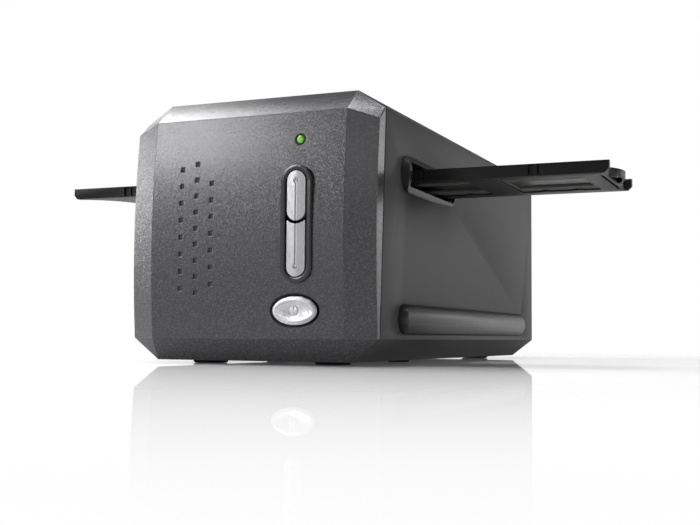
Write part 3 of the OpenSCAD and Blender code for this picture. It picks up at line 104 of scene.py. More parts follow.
def pearlLacquer(name, look, paintedShadeMask=None):
    # Moulded ABS under charcoal pearl lacquer. Aluminium flakes lie at slightly different tilts,
    # so the paint glitters finely, turns light towards the lamps and goes dark away from them.
    material, tree, shader, place = startMaterial(name, look["colour"], look["roughness"], look["metallic"])
    edge = addNode(
        tree, "ShaderNodeBevel", {"samples": look["edgeSamples"], "Radius": look["edgeMm"] * mm}
    )
    flakes = addNode(
        tree, "ShaderNodeTexVoronoi", {"Scale": grainScale(look["flakeMm"])}, {"Vector": place}
    )
    tilt = addNode(
        tree,
        "ShaderNodeVectorMath",
        {"operation": "MULTIPLY_ADD", 1: (look["flakeTilt"],) * 3, 2: (-look["flakeTilt"] / 2,) * 3},
        {0: flakes.outputs["Color"]},
    )
    leaning = addNode(
        tree, "ShaderNodeVectorMath", {"operation": "ADD"}, {0: edge.outputs["Normal"], 1: tilt.outputs[0]}
    )
    if "crown" in look:
        leaning = addNode(
            tree,
            "ShaderNodeVectorMath",
            {"operation": "ADD"},
            {0: leaning.outputs[0], 1: crowned(tree, place, look)},
        )
    lean = addNode(tree, "ShaderNodeVectorMath", {"operation": "NORMALIZE"}, {0: leaning.outputs[0]})
    tree.links.new(lean.outputs[0], shader.inputs["Normal"])
    tree.links.new(edge.outputs["Normal"], shader.inputs["Coat Normal"])
    shader.inputs["Coat Weight"].default_value = look["coat"]
    shader.inputs["Coat Roughness"].default_value = look["coatRoughness"]
    shader.inputs["Specular IOR Level"].default_value = look["specular"]
    cloud = addNode(
        tree, "ShaderNodeTexNoise", {"Scale": grainScale(look["cloudMm"]), "Detail": 3.0}, {"Vector": place}
    )
    ground = addNode(
        tree,
        "ShaderNodeMix",
        {"data_type": "RGBA", 6: linearColour(look["colour"]), 7: linearColour(look["cloudColour"])},
        {0: cloud.outputs["Fac"]},
    )
    share = addNode(tree, "ShaderNodeSeparateColor", links={"Color": flakes.outputs["Color"]})
    bright = addNode(
        tree,
        "ShaderNodeMapRange",
        {"From Min": look["flakeFrom"], "To Max": look["flakeShine"]},
        {"Value": share.outputs["Red"]},
    )
    paintTone = addNode(
        tree,
        "ShaderNodeMix",
        {"data_type": "RGBA", 7: linearColour(look["flakeColour"])},
        {0: bright.outputs["Result"], 6: ground.outputs[2]},
    )
    rough = addNode(
        tree,
        "ShaderNodeMapRange",
        {
            "To Min": look["roughness"] - look["roughSpread"],
            "To Max": look["roughness"] + look["roughSpread"],
        },
        {"Value": cloud.outputs["Fac"]},
    )
    if paintedShadeMask is None:
        tree.links.new(paintTone.outputs[2], shader.inputs["Base Color"])
        tree.links.new(rough.outputs["Result"], shader.inputs["Roughness"])
        return material
    # where the mask is 1, near black is painted as shade, dull and without metal
    bareAndShade = paintedShadeMask(tree, place)
    tone = addNode(
        tree,
        "ShaderNodeMix",
        {"data_type": "RGBA", 7: linearColour(look["bareAndShadeColour"])},
        {0: bareAndShade, 6: paintTone.outputs[2]},
    )
    dull = addNode(
        tree, "ShaderNodeMix", {3: look["shadeRoughness"]}, {0: bareAndShade, 2: rough.outputs["Result"]}
    )
    metal = addNode(
        tree, "ShaderNodeMapRange", {"To Min": look["metallic"], "To Max": 0.0}, {"Value": bareAndShade}
    )
    tree.links.new(tone.outputs[2], shader.inputs["Base Color"])
    tree.links.new(dull.outputs[0], shader.inputs["Roughness"])
    tree.links.new(metal.outputs["Result"], shader.inputs["Metallic"])
    return material


faceShape = {
    "radiusMm": 440,
    "crestMm": 54,  # height at which the curved face stands furthest forward
    "shadeFromMm": 0.25,  # painted shade comes in between these two depths behind the face
    "shadeToMm": 0.4,
    "fieldHalfMm": 43,  # half width of the field between the bevels that holds the recesses
    "fieldTopMm": 104,
    "fieldLowMm": 13,
}


def recessShade(tree, place):
    # a mask of painted shade: 1 a little behind the curved face, on the floors of the recesses and of the
    # dish, which are painted near black
    parts = addNode(tree, "ShaderNodeSeparateXYZ", links={0: place})
    height = addNode(
        tree,
        "ShaderNodeMath",
        {"operation": "SUBTRACT", 1: faceShape["crestMm"] * mm},
        {0: parts.outputs["Z"]},
    )
    square = addNode(
        tree, "ShaderNodeMath", {"operation": "MULTIPLY"}, {0: height.outputs[0], 1: height.outputs[0]}
    )
    curve = addNode(
        tree,
        "ShaderNodeMath",
        {"operation": "MULTIPLY_ADD", 1: 1 / (2 * faceShape["radiusMm"] * mm), 2: frontY},
        {0: square.outputs[0]},
    )
    depth = addNode(
        tree, "ShaderNodeMath", {"operation": "SUBTRACT"}, {0: parts.outputs["Y"], 1: curve.outputs[0]}
    )
    deep = addNode(
        tree,
        "ShaderNodeMapRange",
        {"From Min": faceShape["shadeFromMm"] * mm, "From Max": faceShape["shadeToMm"] * mm},
        {"Value": depth.outputs[0]},
    )
    # only on the field between the bevels, where the recesses are
    across = addNode(tree, "ShaderNodeMath", {"operation": "ADD", 1: -caseX}, {0: parts.outputs["X"]})
    aside = addNode(tree, "ShaderNodeMath", {"operation": "ABSOLUTE"}, {0: across.outputs[0]})
    between = addNode(
        tree,
        "ShaderNodeMath",
        {"operation": "LESS_THAN", 1: faceShape["fieldHalfMm"] * mm},
        {0: aside.outputs[0]},
    )
    below = addNode(
        tree,
        "ShaderNodeMath",
        {"operation": "LESS_THAN", 1: faceShape["fieldTopMm"] * mm},
        {0: parts.outputs["Z"]},
    )
    above = addNode(
        tree,
        "ShaderNodeMath",
        {"operation": "GREATER_THAN", 1: faceShape["fieldLowMm"] * mm},
        {0: parts.outputs["Z"]},
    )
    column = addNode(
        tree, "ShaderNodeMath", {"operation": "MULTIPLY"}, {0: between.outputs[0], 1: below.outputs[0]}
    )
    field = addNode(
        tree, "ShaderNodeMath", {"operation": "MULTIPLY"}, {0: column.outputs[0], 1: above.outputs[0]}
    )
    bareAndShade = addNode(
        tree, "ShaderNodeMath", {"operation": "MULTIPLY"}, {0: deep.outputs["Result"], 1: field.outputs[0]}
    )
    return bareAndShade.outputs[0]


pearlLook = {
    "colour": "#38383a",
    "cloudColour": "#3c3c3e",
    "flakeColour": "#8c8c90",
    # the near black painted as shade in the recesses and inside the mouth of a collar
    "bareAndShadeColour": "#0c0c0d",
    "flakeShine": 0.25,
    "flakeFrom": 0.6,  # four flakes in ten shine, the others stay dark
    "flakeMm": 0.4,  # real flakes are about 0.05 mm, drawn coarser so that they show
    "flakeTilt": 0.18,
    "cloudMm": 9,
    "roughness": 0.36,
    "roughSpread": 0.03,
    # how dull that painted shade is
    "shadeRoughness": 0.6,
    "metallic": 0.55,
    "specular": 0.5,
    "coat": 0.25,
    "coatRoughness": 0.18,
    "edgeMm": 0.7,
    "edgeSamples": 6,
}
# the crown is how far the surface leans at the crease and at the rear edge of the top bevel
bezelLook = dict(pearlLook, crown=(-0.12, 0.3), crownFromMm=108.9, crownToMm=119)
# the floors of the recesses and of the dish in the face get painted shade
pearlBezel = pearlLacquer("pearlLacqueredAbs", bezelLook, recessShade)

mouth = {"middleMm": 85.0, "halfMm": 5.9, "fadeMm": 0.3}


def mouthShade(tree, place):
    # a mask of painted shade: 1 inside the mouth of a collar, whose inner faces are painted near black as
    # the shade inside the slot
    parts = addNode(tree, "ShaderNodeSeparateXYZ", links={0: place})
    height = addNode(
        tree,
        "ShaderNodeMath",
        {"operation": "SUBTRACT", 1: mouth["middleMm"] * mm},
        {0: parts.outputs["Z"]},
    )
    off = addNode(tree, "ShaderNodeMath", {"operation": "ABSOLUTE"}, {0: height.outputs[0]})
    inside = addNode(
        tree,
        "ShaderNodeMapRange",
        {"From Min": mouth["halfMm"] * mm, "From Max": (mouth["halfMm"] - mouth["fadeMm"]) * mm},
        {"Value": off.outputs[0]},
    )
    return inside.outputs["Result"]


collarLook = dict(
    pearlLook,
    colour="#343436",
    cloudColour="#38383a",
    flakeShine=0.12,
    flakeTilt=0.08,
    roughness=0.42,
    coat=0.1,
    coatRoughness=0.25,
    edgeMm=0.4,
)
gripLook = dict(collarLook, colour="#37373a", cloudColour="#3b3b3d", metallic=0.4)
# the inside of the mouth gets painted shade
pearlCollar = pearlLacquer("pearlLacqueredCollar", collarLook, mouthShade)
pearlGrip = pearlLacquer("pearlLacqueredGrip", gripLook)


def sleevePaint(name, look):
    # Moulded ABS under matt charcoal paint: even, with a very fine tooth and hardly any highlight.
    # Near black is painted along the front edge of the sleeve as the shade in the gap at the joint with the
    # bezel.
    material, tree, shader, place = startMaterial(name, look["colour"], look["roughness"])
    shader.inputs["Specular IOR Level"].default_value = look["specular"]
    cloud = addNode(
        tree, "ShaderNodeTexNoise", {"Scale": grainScale(look["cloudMm"]), "Detail": 3.0}, {"Vector": place}
    )
    ground = addNode(
        tree,
        "ShaderNodeMix",
        {"data_type": "RGBA", 6: linearColour(look["colour"]), 7: linearColour(look["cloudColour"])},
        {0: cloud.outputs["Fac"]},
    )
    parts = addNode(tree, "ShaderNodeSeparateXYZ", links={0: place})
    slope = (look["splitTopMm"] - look["splitBottomMm"]) / (look["heightMm"] - look["footMm"])
    start = frontY + (look["splitBottomMm"] - slope * look["footMm"]) * mm
    split = addNode(
        tree, "ShaderNodeMath", {"operation": "MULTIPLY_ADD", 1: slope, 2: start}, {0: parts.outputs["Z"]}
    )
    behind = addNode(
        tree, "ShaderNodeMath", {"operation": "SUBTRACT"}, {0: parts.outputs["Y"], 1: split.outputs[0]}
    )
    # painted shade: the first part of the sleeve behind the joint turns near black
    gapShade = addNode(
        tree,
        "ShaderNodeMapRange",
        {
            "From Min": look["gapShadeMm"] * mm,
            "From Max": (look["gapShadeMm"] + look["gapShadeFadeMm"]) * mm,
            "To Min": 1.0,
            "To Max": 0.0,
        },
        {"Value": behind.outputs[0]},
    )
    tone = addNode(
        tree,
        "ShaderNodeMix",
        {"data_type": "RGBA", 7: linearColour(look["gapShadeColour"])},
        {0: gapShade.outputs["Result"], 6: ground.outputs[2]},
    )
    tree.links.new(tone.outputs[2], shader.inputs["Base Color"])
    tooth = addNode(
        tree, "ShaderNodeTexNoise", {"Scale": grainScale(look["toothMm"]), "Detail": 2.0}, {"Vector": place}
    )
    rough = addNode(
        tree,
        "ShaderNodeMapRange",
        {
            "To Min": look["roughness"] - look["roughSpread"],
            "To Max": look["roughness"] + look["roughSpread"],
        },
        {"Value": tooth.outputs["Fac"]},
    )
    tree.links.new(rough.outputs["Result"], shader.inputs["Roughness"])
    bump = addNode(
        tree,
        "ShaderNodeBump",
        {"Strength": look["toothStrength"], "Distance": look["toothDepthMm"] * mm},
        {"Height": tooth.outputs["Fac"]},
    )
    tree.links.new(bump.outputs["Normal"], shader.inputs["Normal"])
    return material


mattSleeve = sleevePaint(
    "mattPaintedAbs",
    {
        "colour": "#4a4a4b",
        "cloudColour": "#4d4d4e",
        "roughness": 0.55,
        "roughSpread": 0.04,
        "specular": 0.2,
        "cloudMm": 30,
        "toothMm": 0.5,  # the real tooth is nearer 0.1 mm, drawn coarser so that it shows
        "toothDepthMm": 0.01,
        "toothStrength": 0.15,
        "splitTopMm": 15.7,  # the joint leans: its depth behind the front, at the top and at the foot
        "splitBottomMm": 8.7,
        "heightMm": 119,
        "footMm": 1.5,
        # the band of painted shade at the joint: its width, its fade and its colour
        "gapShadeMm": 0.7,
        "gapShadeFadeMm": 0.1,
        "gapShadeColour": "#020202",
    },
)

mouldedLook = {"specular": 0.5, "cloudMm": 14, "roughLess": 0.05, "roughMore": 0.06, "bump": 0.3}


def mouldedPlastic(name, ownLook):
    # Spark-eroded moulded plastic: an even fine grain that breaks up the highlight
    look = dict(mouldedLook, **ownLook)
    material, tree, shader, place = startMaterial(name, look["colour"], look["roughness"])
    shader.inputs["Specular IOR Level"].default_value = look["specular"]
    grain = addNode(
        tree,
        "ShaderNodeTexNoise",
        {"Scale": grainScale(look["grainMm"]), "Detail": 2.0},
        {"Vector": place},
    )
    cloud = addNode(
        tree, "ShaderNodeTexNoise", {"Scale": grainScale(look["cloudMm"]), "Detail": 2.0}, {"Vector": place}
    )
    ground = addNode(
        tree,
        "ShaderNodeMix",
        {"data_type": "RGBA", 6: linearColour(look["colour"]), 7: linearColour(look["cloudColour"])},
        {0: cloud.outputs["Fac"]},
    )
    tree.links.new(ground.outputs[2], shader.inputs["Base Color"])
    rough = addNode(
        tree,
        "ShaderNodeMapRange",
        {
            "To Min": look["roughness"] - look["roughLess"],
            "To Max": look["roughness"] + look["roughMore"],
        },
        {"Value": grain.outputs["Fac"]},
    )
    tree.links.new(rough.outputs["Result"], shader.inputs["Roughness"])
    bump = addNode(
        tree,
        "ShaderNodeBump",
        {"Strength": look["bump"], "Distance": look["grainDepthMm"] * mm},
        {"Height": grain.outputs["Fac"]},
    )
    tree.links.new(bump.outputs["Normal"], shader.inputs["Normal"])
    return material


# ABS moulded in black: deep and even, with a dull sheen along its edges
blackAbs = mouldedPlastic(
    "blackAbs",
    {
        "colour": "#0d0d0e",
        "cloudColour": "#111112",
        "roughness": 0.42,
        "specular": 0.15,
        "grainMm": 0.5,
        "grainDepthMm": 0.01,
    },
)
# polycarbonate frame round the buttons: almost black, a little glossier
darkFrame = mouldedPlastic(
    "darkPolycarbonate",
    {
        "colour": "#1c1c1e",
        "cloudColour": "#202022",
        "roughness": 0.24,
        "specular": 0.55,
        "grainMm": 0.6,
        "grainDepthMm": 0.005,
    },
)
# polystyrene slide mount: light grey, matt
mountPlastic = mouldedPlastic(
    "slideMountPolystyrene",
    {
        "colour": "#5c5b58",
        "cloudColour": "#63625f",
        "roughness": 0.6,
        "specular": 0.2,
        "grainMm": 0.6,
        "grainDepthMm": 0.02,
    },
)
# white acetal and ABS of the parts inside: clean, slightly waxy
whitePlastic = mouldedPlastic(
    "whiteAcetal",
    {
        "colour": "#dcdcd6",
        "cloudColour": "#e4e4de",
        "roughness": 0.4,
        "grainMm": 0.8,
        "grainDepthMm": 0.01,
    },
)
# opal acrylic of the diffuser: milky and smooth
opalAcrylic = mouldedPlastic(
    "opalAcrylic",
    {
        "colour": "#f0f0ec",
        "cloudColour": "#f4f4f0",
        "roughness": 0.3,
        "grainMm": 1.2,
        "grainDepthMm": 0.005,
    },
)
# vulcanised rubber of the feet and the belt: black, dull and dusty
blackRubber = mouldedPlastic(
    "vulcanisedRubber",
    {
        "colour": "#1b1b1b",
        "cloudColour": "#242423",
        "roughness": 0.82,
        "grainMm": 0.7,
        "grainDepthMm": 0.04,
    },
)
# epoxy moulding of the chips: charcoal, fine matt
chipEpoxy = mouldedPlastic(
    "chipEpoxy",
    {
        "colour": "#1f1f20",
        "cloudColour": "#272728",
        "roughness": 0.6,
        "grainMm": 0.3,
        "grainDepthMm": 0.01,
    },
)
# polyester film of the flat cable: white with a soft shine
cableFilm = mouldedPlastic(
    "cablePolyester",
    {
        "colour": "#d6d6ce",
        "cloudColour": "#dededa",
        "roughness": 0.35,
        "grainMm": 1.0,
        "grainDepthMm": 0.01,
    },
)
# developed film: very dark brown, glossy
developedFilm = mouldedPlastic(
    "developedFilm",
    {
        "colour": "#150f0c",
        "cloudColour": "#20160f",
        "roughness": 0.3,
        "specular": 0.12,
        "grainMm": 6,
        "grainDepthMm": 0.01,
    },
)
# fired ceramic package of the sensor: dark, dry
sensorCeramic = mouldedPlastic(
    "firedCeramic",
    {
        "colour": "#3b3632",
        "cloudColour": "#443e39",
        "roughness": 0.5,
        "grainMm": 0.4,
        "grainDepthMm": 0.01,
    },
)


def silverLacquer(name, look):
    # Satin silver lacquer on the button caps: metallic pigment turns bright towards the lamps and
    # dull away from them, with a fine sparkle. Sprayed from the front, so the button behind its
    # cap stays black.
    material, tree, shader, place = startMaterial(name, look["colour"], look["roughness"], look["metallic"])
    edge = addNode(
        tree, "ShaderNodeBevel", {"samples": look["edgeSamples"], "Radius": look["edgeMm"] * mm}
    )
    pigment = addNode(
        tree, "ShaderNodeTexVoronoi", {"Scale": grainScale(look["pigmentMm"])}, {"Vector": place}
    )
    tilt = addNode(
        tree,
        "ShaderNodeVectorMath",
        {
            "operation": "MULTIPLY_ADD",
            1: (look["pigmentTilt"],) * 3,
            2: (-look["pigmentTilt"] / 2,) * 3,
        },
        {0: pigment.outputs["Color"]},
    )
    leaning = addNode(
        tree, "ShaderNodeVectorMath", {"operation": "ADD"}, {0: edge.outputs["Normal"], 1: tilt.outputs[0]}
    )
    lean = addNode(tree, "ShaderNodeVectorMath", {"operation": "NORMALIZE"}, {0: leaning.outputs[0]})
    tree.links.new(lean.outputs[0], shader.inputs["Normal"])
    share = addNode(tree, "ShaderNodeSeparateColor", links={"Color": pigment.outputs["Color"]})
    silver = addNode(
        tree,
        "ShaderNodeMix",
        {
            "data_type": "RGBA",
            6: linearColour(look["colour"]),
            7: linearColour(look["pigmentColour"]),
        },
        {0: share.outputs["Green"]},
    )
    parts = addNode(tree, "ShaderNodeSeparateXYZ", links={0: place})
    bareAndShade = addNode(
        tree,
        "ShaderNodeMapRange",
        {
            "From Min": frontY + look["sprayMm"] * mm,
            "From Max": frontY + (look["sprayMm"] + look["sprayFadeMm"]) * mm,
        },
        {"Value": parts.outputs["Y"]},
    )
    tone = addNode(
        tree,
        "ShaderNodeMix",
        {"data_type": "RGBA", 7: linearColour(look["bareAndShadeColour"])},
        {0: bareAndShade.outputs["Result"], 6: silver.outputs[2]},
    )
    metal = addNode(
        tree,
        "ShaderNodeMapRange",
        {"To Min": look["metallic"], "To Max": 0.0},
        {"Value": bareAndShade.outputs["Result"]},
    )
    tree.links.new(tone.outputs[2], shader.inputs["Base Color"])
    tree.links.new(metal.outputs["Result"], shader.inputs["Metallic"])
    return material


silverLook = {
    "colour": "#9c9c9e",
    "pigmentColour": "#aeaeb0",
    "bareAndShadeColour": "#101011",
    "roughness": 0.37,
    "metallic": 0.7,
    "pigmentMm": 0.35,  # the real pigment is finer than 0.05 mm, drawn coarser so that it shows
    "pigmentTilt": 0.12,
    "edgeMm": 0.25,
    "edgeSamples": 6,
    "sprayMm": 0.25,  # how far behind the front the lacquer reaches
    "sprayFadeMm": 0.15,
}
silverButtons = silverLacquer("silverLacquer", silverLook)
powerLook = dict(silverLook, colour="#b4b4b6", pigmentColour="#c6c6c8", sprayMm=1.6)
silverPower = silverLacquer("silverLacquerPower", powerLook)

workedLook = {"roughLess": 0.06, "roughMore": 0.1, "bump": 0.2, "lineDepthMm": 0.01}


def plainMetal(name, ownLook):
    # Drawn, rolled or turned metal: tiny lines along the way it was worked stretch its highlight
    look = dict(workedLook, **ownLook)
    material, tree, shader, place = startMaterial(name, look["colour"], look["roughness"], 1.0)
    stretched = addNode(tree, "ShaderNodeMapping", {"Scale": look["stretch"]}, {"Vector": place})
    lines = addNode(
        tree,
        "ShaderNodeTexNoise",
        {"Scale": grainScale(look["lineMm"]), "Detail": 3.0},
        {"Vector": stretched.outputs["Vector"]},
    )
    rough = addNode(
        tree,
        "ShaderNodeMapRange",
        {
            "To Min": look["roughness"] - look["roughLess"],
            "To Max": look["roughness"] + look["roughMore"],
        },
        {"Value": lines.outputs["Fac"]},
    )
    tree.links.new(rough.outputs["Result"], shader.inputs["Roughness"])
    bump = addNode(
        tree,
        "ShaderNodeBump",
        {"Strength": look["bump"], "Distance": look["lineDepthMm"] * mm},
        {"Height": lines.outputs["Fac"]},
    )
    tree.links.new(bump.outputs["Normal"], shader.inputs["Normal"])
    return material


# zinc-plated steel screws, springs and pins: bright with a cool tint
zincSteel = plainMetal(
    "zincPlatedSteel", {"colour": "#c3c6ca", "roughness": 0.28, "lineMm": 0.6, "stretch": (1, 1, 1)}
)
# ground steel guide rods: polished along their length
groundSteel = plainMetal(
    "groundSteel", {"colour": "#c9ccd0", "roughness": 0.14, "lineMm": 0.4, "stretch": (1, 0.05, 1)}
)
# galvanised sheet of the chassis: grey with faint rolling lines
galvanisedSheet = plainMetal(
    "galvanisedSheet", {"colour": "#a6a9ac", "roughness": 0.4, "lineMm": 1.2, "stretch": (1, 0.1, 1)}
)
# sintered bronze and brass: warm, dull
turnedBrass = plainMetal(
    "turnedBrass", {"colour": "#b08d4f", "roughness": 0.34, "lineMm": 0.4, "stretch": (1, 1, 0.2)}
)
# nickel-plated shell of the socket
nickelPlate = plainMetal(
    "nickelPlate", {"colour": "#c8c8c4", "roughness": 0.2, "lineMm": 1.0, "stretch": (1, 1, 1)}
)
# front-silvered mirror glass
silveredGlass = plainMetal(
    "silveredGlass", {"colour": "#dfe3e4", "roughness": 0.07, "lineMm": 8, "stretch": (1, 1, 1)}
)

boardLook = {
    "colour": "#16502c",
    "otherColour": "#1a5a33",
    "trackColour": "#2c7a4a",
    "trackPitchMm": 3.2,
    "trackShare": 0.03,
    "roughness": 0.4,
}


def circuitBoard(name, look):
    # Glass-epoxy board under green solder mask: copper tracks show as slightly lighter lines
    material, tree, shader, place = startMaterial(name, look["colour"], look["roughness"])
    tracks = addNode(
        tree,
        "ShaderNodeTexBrick",
        {
            "Scale": grainScale(look["trackPitchMm"]),
            "Color1": linearColour(look["colour"]),
            "Color2": linearColour(look["otherColour"]),
            "Mortar": linearColour(look["trackColour"]),
            "Mortar Size": look["trackShare"],
        },
        {"Vector": place},
    )
    tree.links.new(tracks.outputs["Color"], shader.inputs["Base Color"])
    return material


solderMask = circuitBoard("greenSolderMask", boardLook)

glassLook = {"colour": "#dfe9f2", "clear": 0.9, "ior": 1.6, "hazeMm": 5, "polish": (0.02, 0.05)}


def clearLens(name, look):
    # Coated optical glass: clear, faintly blue, and polished all over
    smooth, dull = look["polish"]
    material, tree, shader, place = startMaterial(name, look["colour"], smooth)
    shader.inputs["Transmission Weight"].default_value = look["clear"]
    shader.inputs["IOR"].default_value = look["ior"]
    haze = addNode(tree, "ShaderNodeTexNoise", {"Scale": grainScale(look["hazeMm"])}, {"Vector": place})
    rough = addNode(
        tree, "ShaderNodeMapRange", {"To Min": smooth, "To Max": dull}, {"Value": haze.outputs["Fac"]}
    )
    tree.links.new(rough.outputs["Result"], shader.inputs["Roughness"])
    return material


opticalGlass = clearLens("coatedOpticalGlass", glassLook)


def glowingLens(name, look):
    # Green-tinted acrylic light guide, lit from behind: brightest in the middle of its dome
    material, tree, shader, place = startMaterial(name, look["colour"], look["roughness"])
    middle = addNode(
        tree,
        "ShaderNodeVectorMath",
        {"operation": "DISTANCE", 1: look["centre"]},
        {0: place},
    )
    glow = addNode(
        tree,
        "ShaderNodeMapRange",
        {"From Min": 0.0, "From Max": look["radius"], "To Min": 1.0, "To Max": 0.0},
        {"Value": middle.outputs["Value"]},
    )
    tone = addNode(
        tree,
        "ShaderNodeMix",
        {"data_type": "RGBA", 6: linearColour(look["rimColour"]), 7: linearColour(look["glowColour"])},
        {0: glow.outputs["Result"]},
    )
    tree.links.new(tone.outputs[2], shader.inputs["Base Color"])
    tree.links.new(tone.outputs[2], shader.inputs["Emission Color"])
    shader.inputs["Emission Strength"].default_value = look["strength"]
    shader.inputs["Coat Weight"].default_value = look["coat"]
    return material


lensLow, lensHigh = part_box("indicator_lens")
indicatorGreen = glowingLens(
    "litGreenAcrylic",
    {
        "colour": "#3f9a22",
        "rimColour": "#2a7414",
        "glowColour": "#86d62e",
        "centre": (
            (lensLow[0] + lensHigh[0]) / 2,
            lensLow[1],
            (lensLow[2] + lensHigh[2]) / 2,
        ),
        "radius": 2.3 * mm,
        "strength": 0.28,
        "roughness": 0.18,
        "coat": 0.6,
    },
)
print("materials made")

paint(["front_bezel"], pearlBezel)
paint(["sleeve"], mattSleeve)
paint(["slot_collar_right", "slot_collar_left"], pearlCollar)
paint(["grip_right", "grip_left"], pearlGrip)
paint(["scan_button_upper", "scan_button_lower"], silverButtons)
paint(["power_button"], silverPower)
paint(["button_frame"], darkFrame)
paint(["indicator_ring"], blackAbs)
paint(["indicator_lens"], indicatorGreen)
paint(
    [
        "holder_base",
        "dust_flap_right",
        "dust_flap_left",
        "rear_panel",
        "base_plate",
        "film_guide_lower",
        "film_guide_upper",
        "carriage_tray",
        "carriage_cover",
        "lens_barrel",
        "belt_clamp",
        "power_inlet",
    ],
    blackAbs,
)
paint(["slide_mounts"], mountPlastic)
paint(["film_chips"], developedFilm)
paint(["feet_large", "feet_small", "drive_belt"], blackRubber)
paint(
    [
        "case_screws",
        "chassis_screws",
        "flap_pins",
        "flap_spring_right",
        "flap_spring_left",
        "detent_spring",
        "spring_upper",
        "spring_lower",
        "spring_power",
    ],
    zincSteel,
)
paint(["guide_rods"], groundSteel)
paint(["chassis", "gate_bridge", "motor", "motor_bracket", "idler_bracket"], galvanisedSheet)
paint(["rod_bushes", "drive_pulley"], turnedBrass)
paint(["lamp_housing", "idler_pulley"], whitePlastic)
paint(["diffuser"], opalAcrylic)
paint(["led_board", "ccd_board", "main_board", "switch_board"], solderMask)
paint(["board_parts", "tact_switches"], chipEpoxy)
paint(["scan_mirror"], silveredGlass)
paint(["lens_glass"], opticalGlass)
paint(["ccd_sensor"], sensorCeramic)
paint(["usb_socket"], nickelPlate)
paint(["flat_cable"], cableFilm)
print("nodes painted")

edgeLook = {"weldMm": 0.002, "segments": 2, "fromDegrees": 32}


def weldPoints(piece):
    weld = piece.modifiers.new("weld", "WELD")
    weld.merge_threshold = edgeLook["weldMm"] * mm


def softenEdges(name, widthMm):
    # moulded parts have no knife edges: a small round catches the light
    piece = nodes[name]
    weldPoints(piece)
    bevel = piece.modifiers.new("bevel", "BEVEL")
    bevel.width = widthMm * mm
    bevel.segments = edgeLook["segments"]
    bevel.limit_method = "ANGLE"
    bevel.angle_limit = math.radians(edgeLook["fromDegrees"])
    bevel.harden_normals = True
    bevel.use_clamp_overlap = True
    for face in piece.data.polygons:
        face.use_smooth = True


edgeWidths = {  # millimetres
    "sleeve": 0.35,
    "power_button": 0.35,
    "button_frame": 0.3,
    "grip_right": 0.5,
    "grip_left": 0.5,
    "holder_base": 0.25,
    "slide_mounts": 0.2,
}
for name, width in edgeWidths.items():
    softenEdges(name, width)
print("edges softened")

bezelCorners = {
    "flatHalfMm": 47.2,  # half width of the curved face between its side bevels
    "caseHalfMm": 60,
    "faceTopMm": 108.9,
    "faceBottomMm": 11.3,
    "caseTopMm": 119,
    "footMm": 1.5,
    "topWallMm": 110.4,  # where the chamfer of the case begins at the top
    "lowWallMm": 11.3,
    "sideBevelMm": 5,
    "topRearMm": 15.1,  # rear edge of the top bevel, behind the front
    "lowRearMm": 7.3,
    "topWallRearMm": 14.6,  # rear edge of the bezel where that chamfer meets the side wall
    "topCheekMm": 104.66,  # how far down the side bevel a top facet reaches
    "wedgeMm": 8,  # the prism that takes the corner off, and how much wider than the facet it is
    "wedgeSpread": 1.5,
    "backMm": 1.2,  # the prism that backs the wall behind a top facet
    "backLapMm": 0.4,
    "backSpread": 0.92,
    "creaseDegrees": 8,
}


def faceDepth(heightMm):
    # how far the curved face has gone back at this height
    return (heightMm - faceShape["crestMm"]) ** 2 / (2 * faceShape["radiusMm"])


def cornerPrism(name, points, outward, spread, fromMm, toMm):
    middle = sum(points, Vector()) / len(points)
    outline = [middle + (p - middle) * spread for p in points]
    shape = bmesh.new()
    rings = []
    for offset in (fromMm, toMm):
        rings.append([shape.verts.new(p + outward * offset * mm) for p in outline])
        shape.faces.new(rings[-1])
    for i in range(len(points)):
        j = (i + 1) % len(points)
        shape.faces.new((rings[0][i], rings[0][j], rings[1][j], rings[1][i]))
    bmesh.ops.recalc_face_normals(shape, faces=shape.faces)
    mesh = bpy.data.meshes.new(name)
    shape.to_mesh(mesh)
    shape.free()
    prism = bpy.data.objects.new(name, mesh)
    prism.hide_render = True
    bpy.context.collection.objects.link(prism)
    return prism


def cutCorner(bezel, name, corners):
    # backs the wall where it would get too thin, then takes off what stands in front of the plane
    points = [Vector((caseX + x * mm, frontY + y * mm, z * mm)) for x, y, z in corners]
    outward = (points[1] - points[0]).cross(points[2] - points[0]).normalized()
    if outward.y > 0:
        outward = -outward
    points = [p - outward * (p - points[0]).dot(outward) for p in points]
    look = bezelCorners
    if len(points) > 3:
        back = bezel.modifiers.new(name + "Back", "BOOLEAN")
        back.operation = "UNION"
        back.solver = "EXACT"
        back.object = cornerPrism(
            name + "Back", points, outward, look["backSpread"], -look["backMm"], look["backLapMm"]
        )
    cut = bezel.modifiers.new(name, "BOOLEAN")
    cut.operation = "DIFFERENCE"
    cut.solver = "EXACT"
    cut.object = cornerPrism(name, points, outward, look["wedgeSpread"], 0, look["wedgeMm"])


def sharpenCreases(piece, degrees):
    # keeps every edge sharper than the angle crisp after the cuts, and the curved face smooth
    tree = bpy.data.node_groups.new("sharpCreases", "GeometryNodeTree")
    for way in ("INPUT", "OUTPUT"):
        tree.interface.new_socket("Geometry", in_out=way, socket_type="NodeSocketGeometry")
    start = addNode(tree, "NodeGroupInput")
    angle = addNode(tree, "GeometryNodeInputMeshEdgeAngle")
    crease = addNode(
        tree,
        "FunctionNodeCompare",
        {"operation": "GREATER_THAN", 1: math.radians(degrees)},
        {0: angle.outputs[0]},
    )
    smooth = addNode(
        tree,
        "GeometryNodeSetShadeSmooth",
        {"domain": "EDGE", "Shade Smooth": False},
        {"Geometry": start.outputs[0], "Selection": crease.outputs[0]},
    )
    addNode(tree, "NodeGroupOutput", links={0: smooth.outputs[0]})
    piece.modifiers.new("sharpCreases", "NODES").node_group = tree


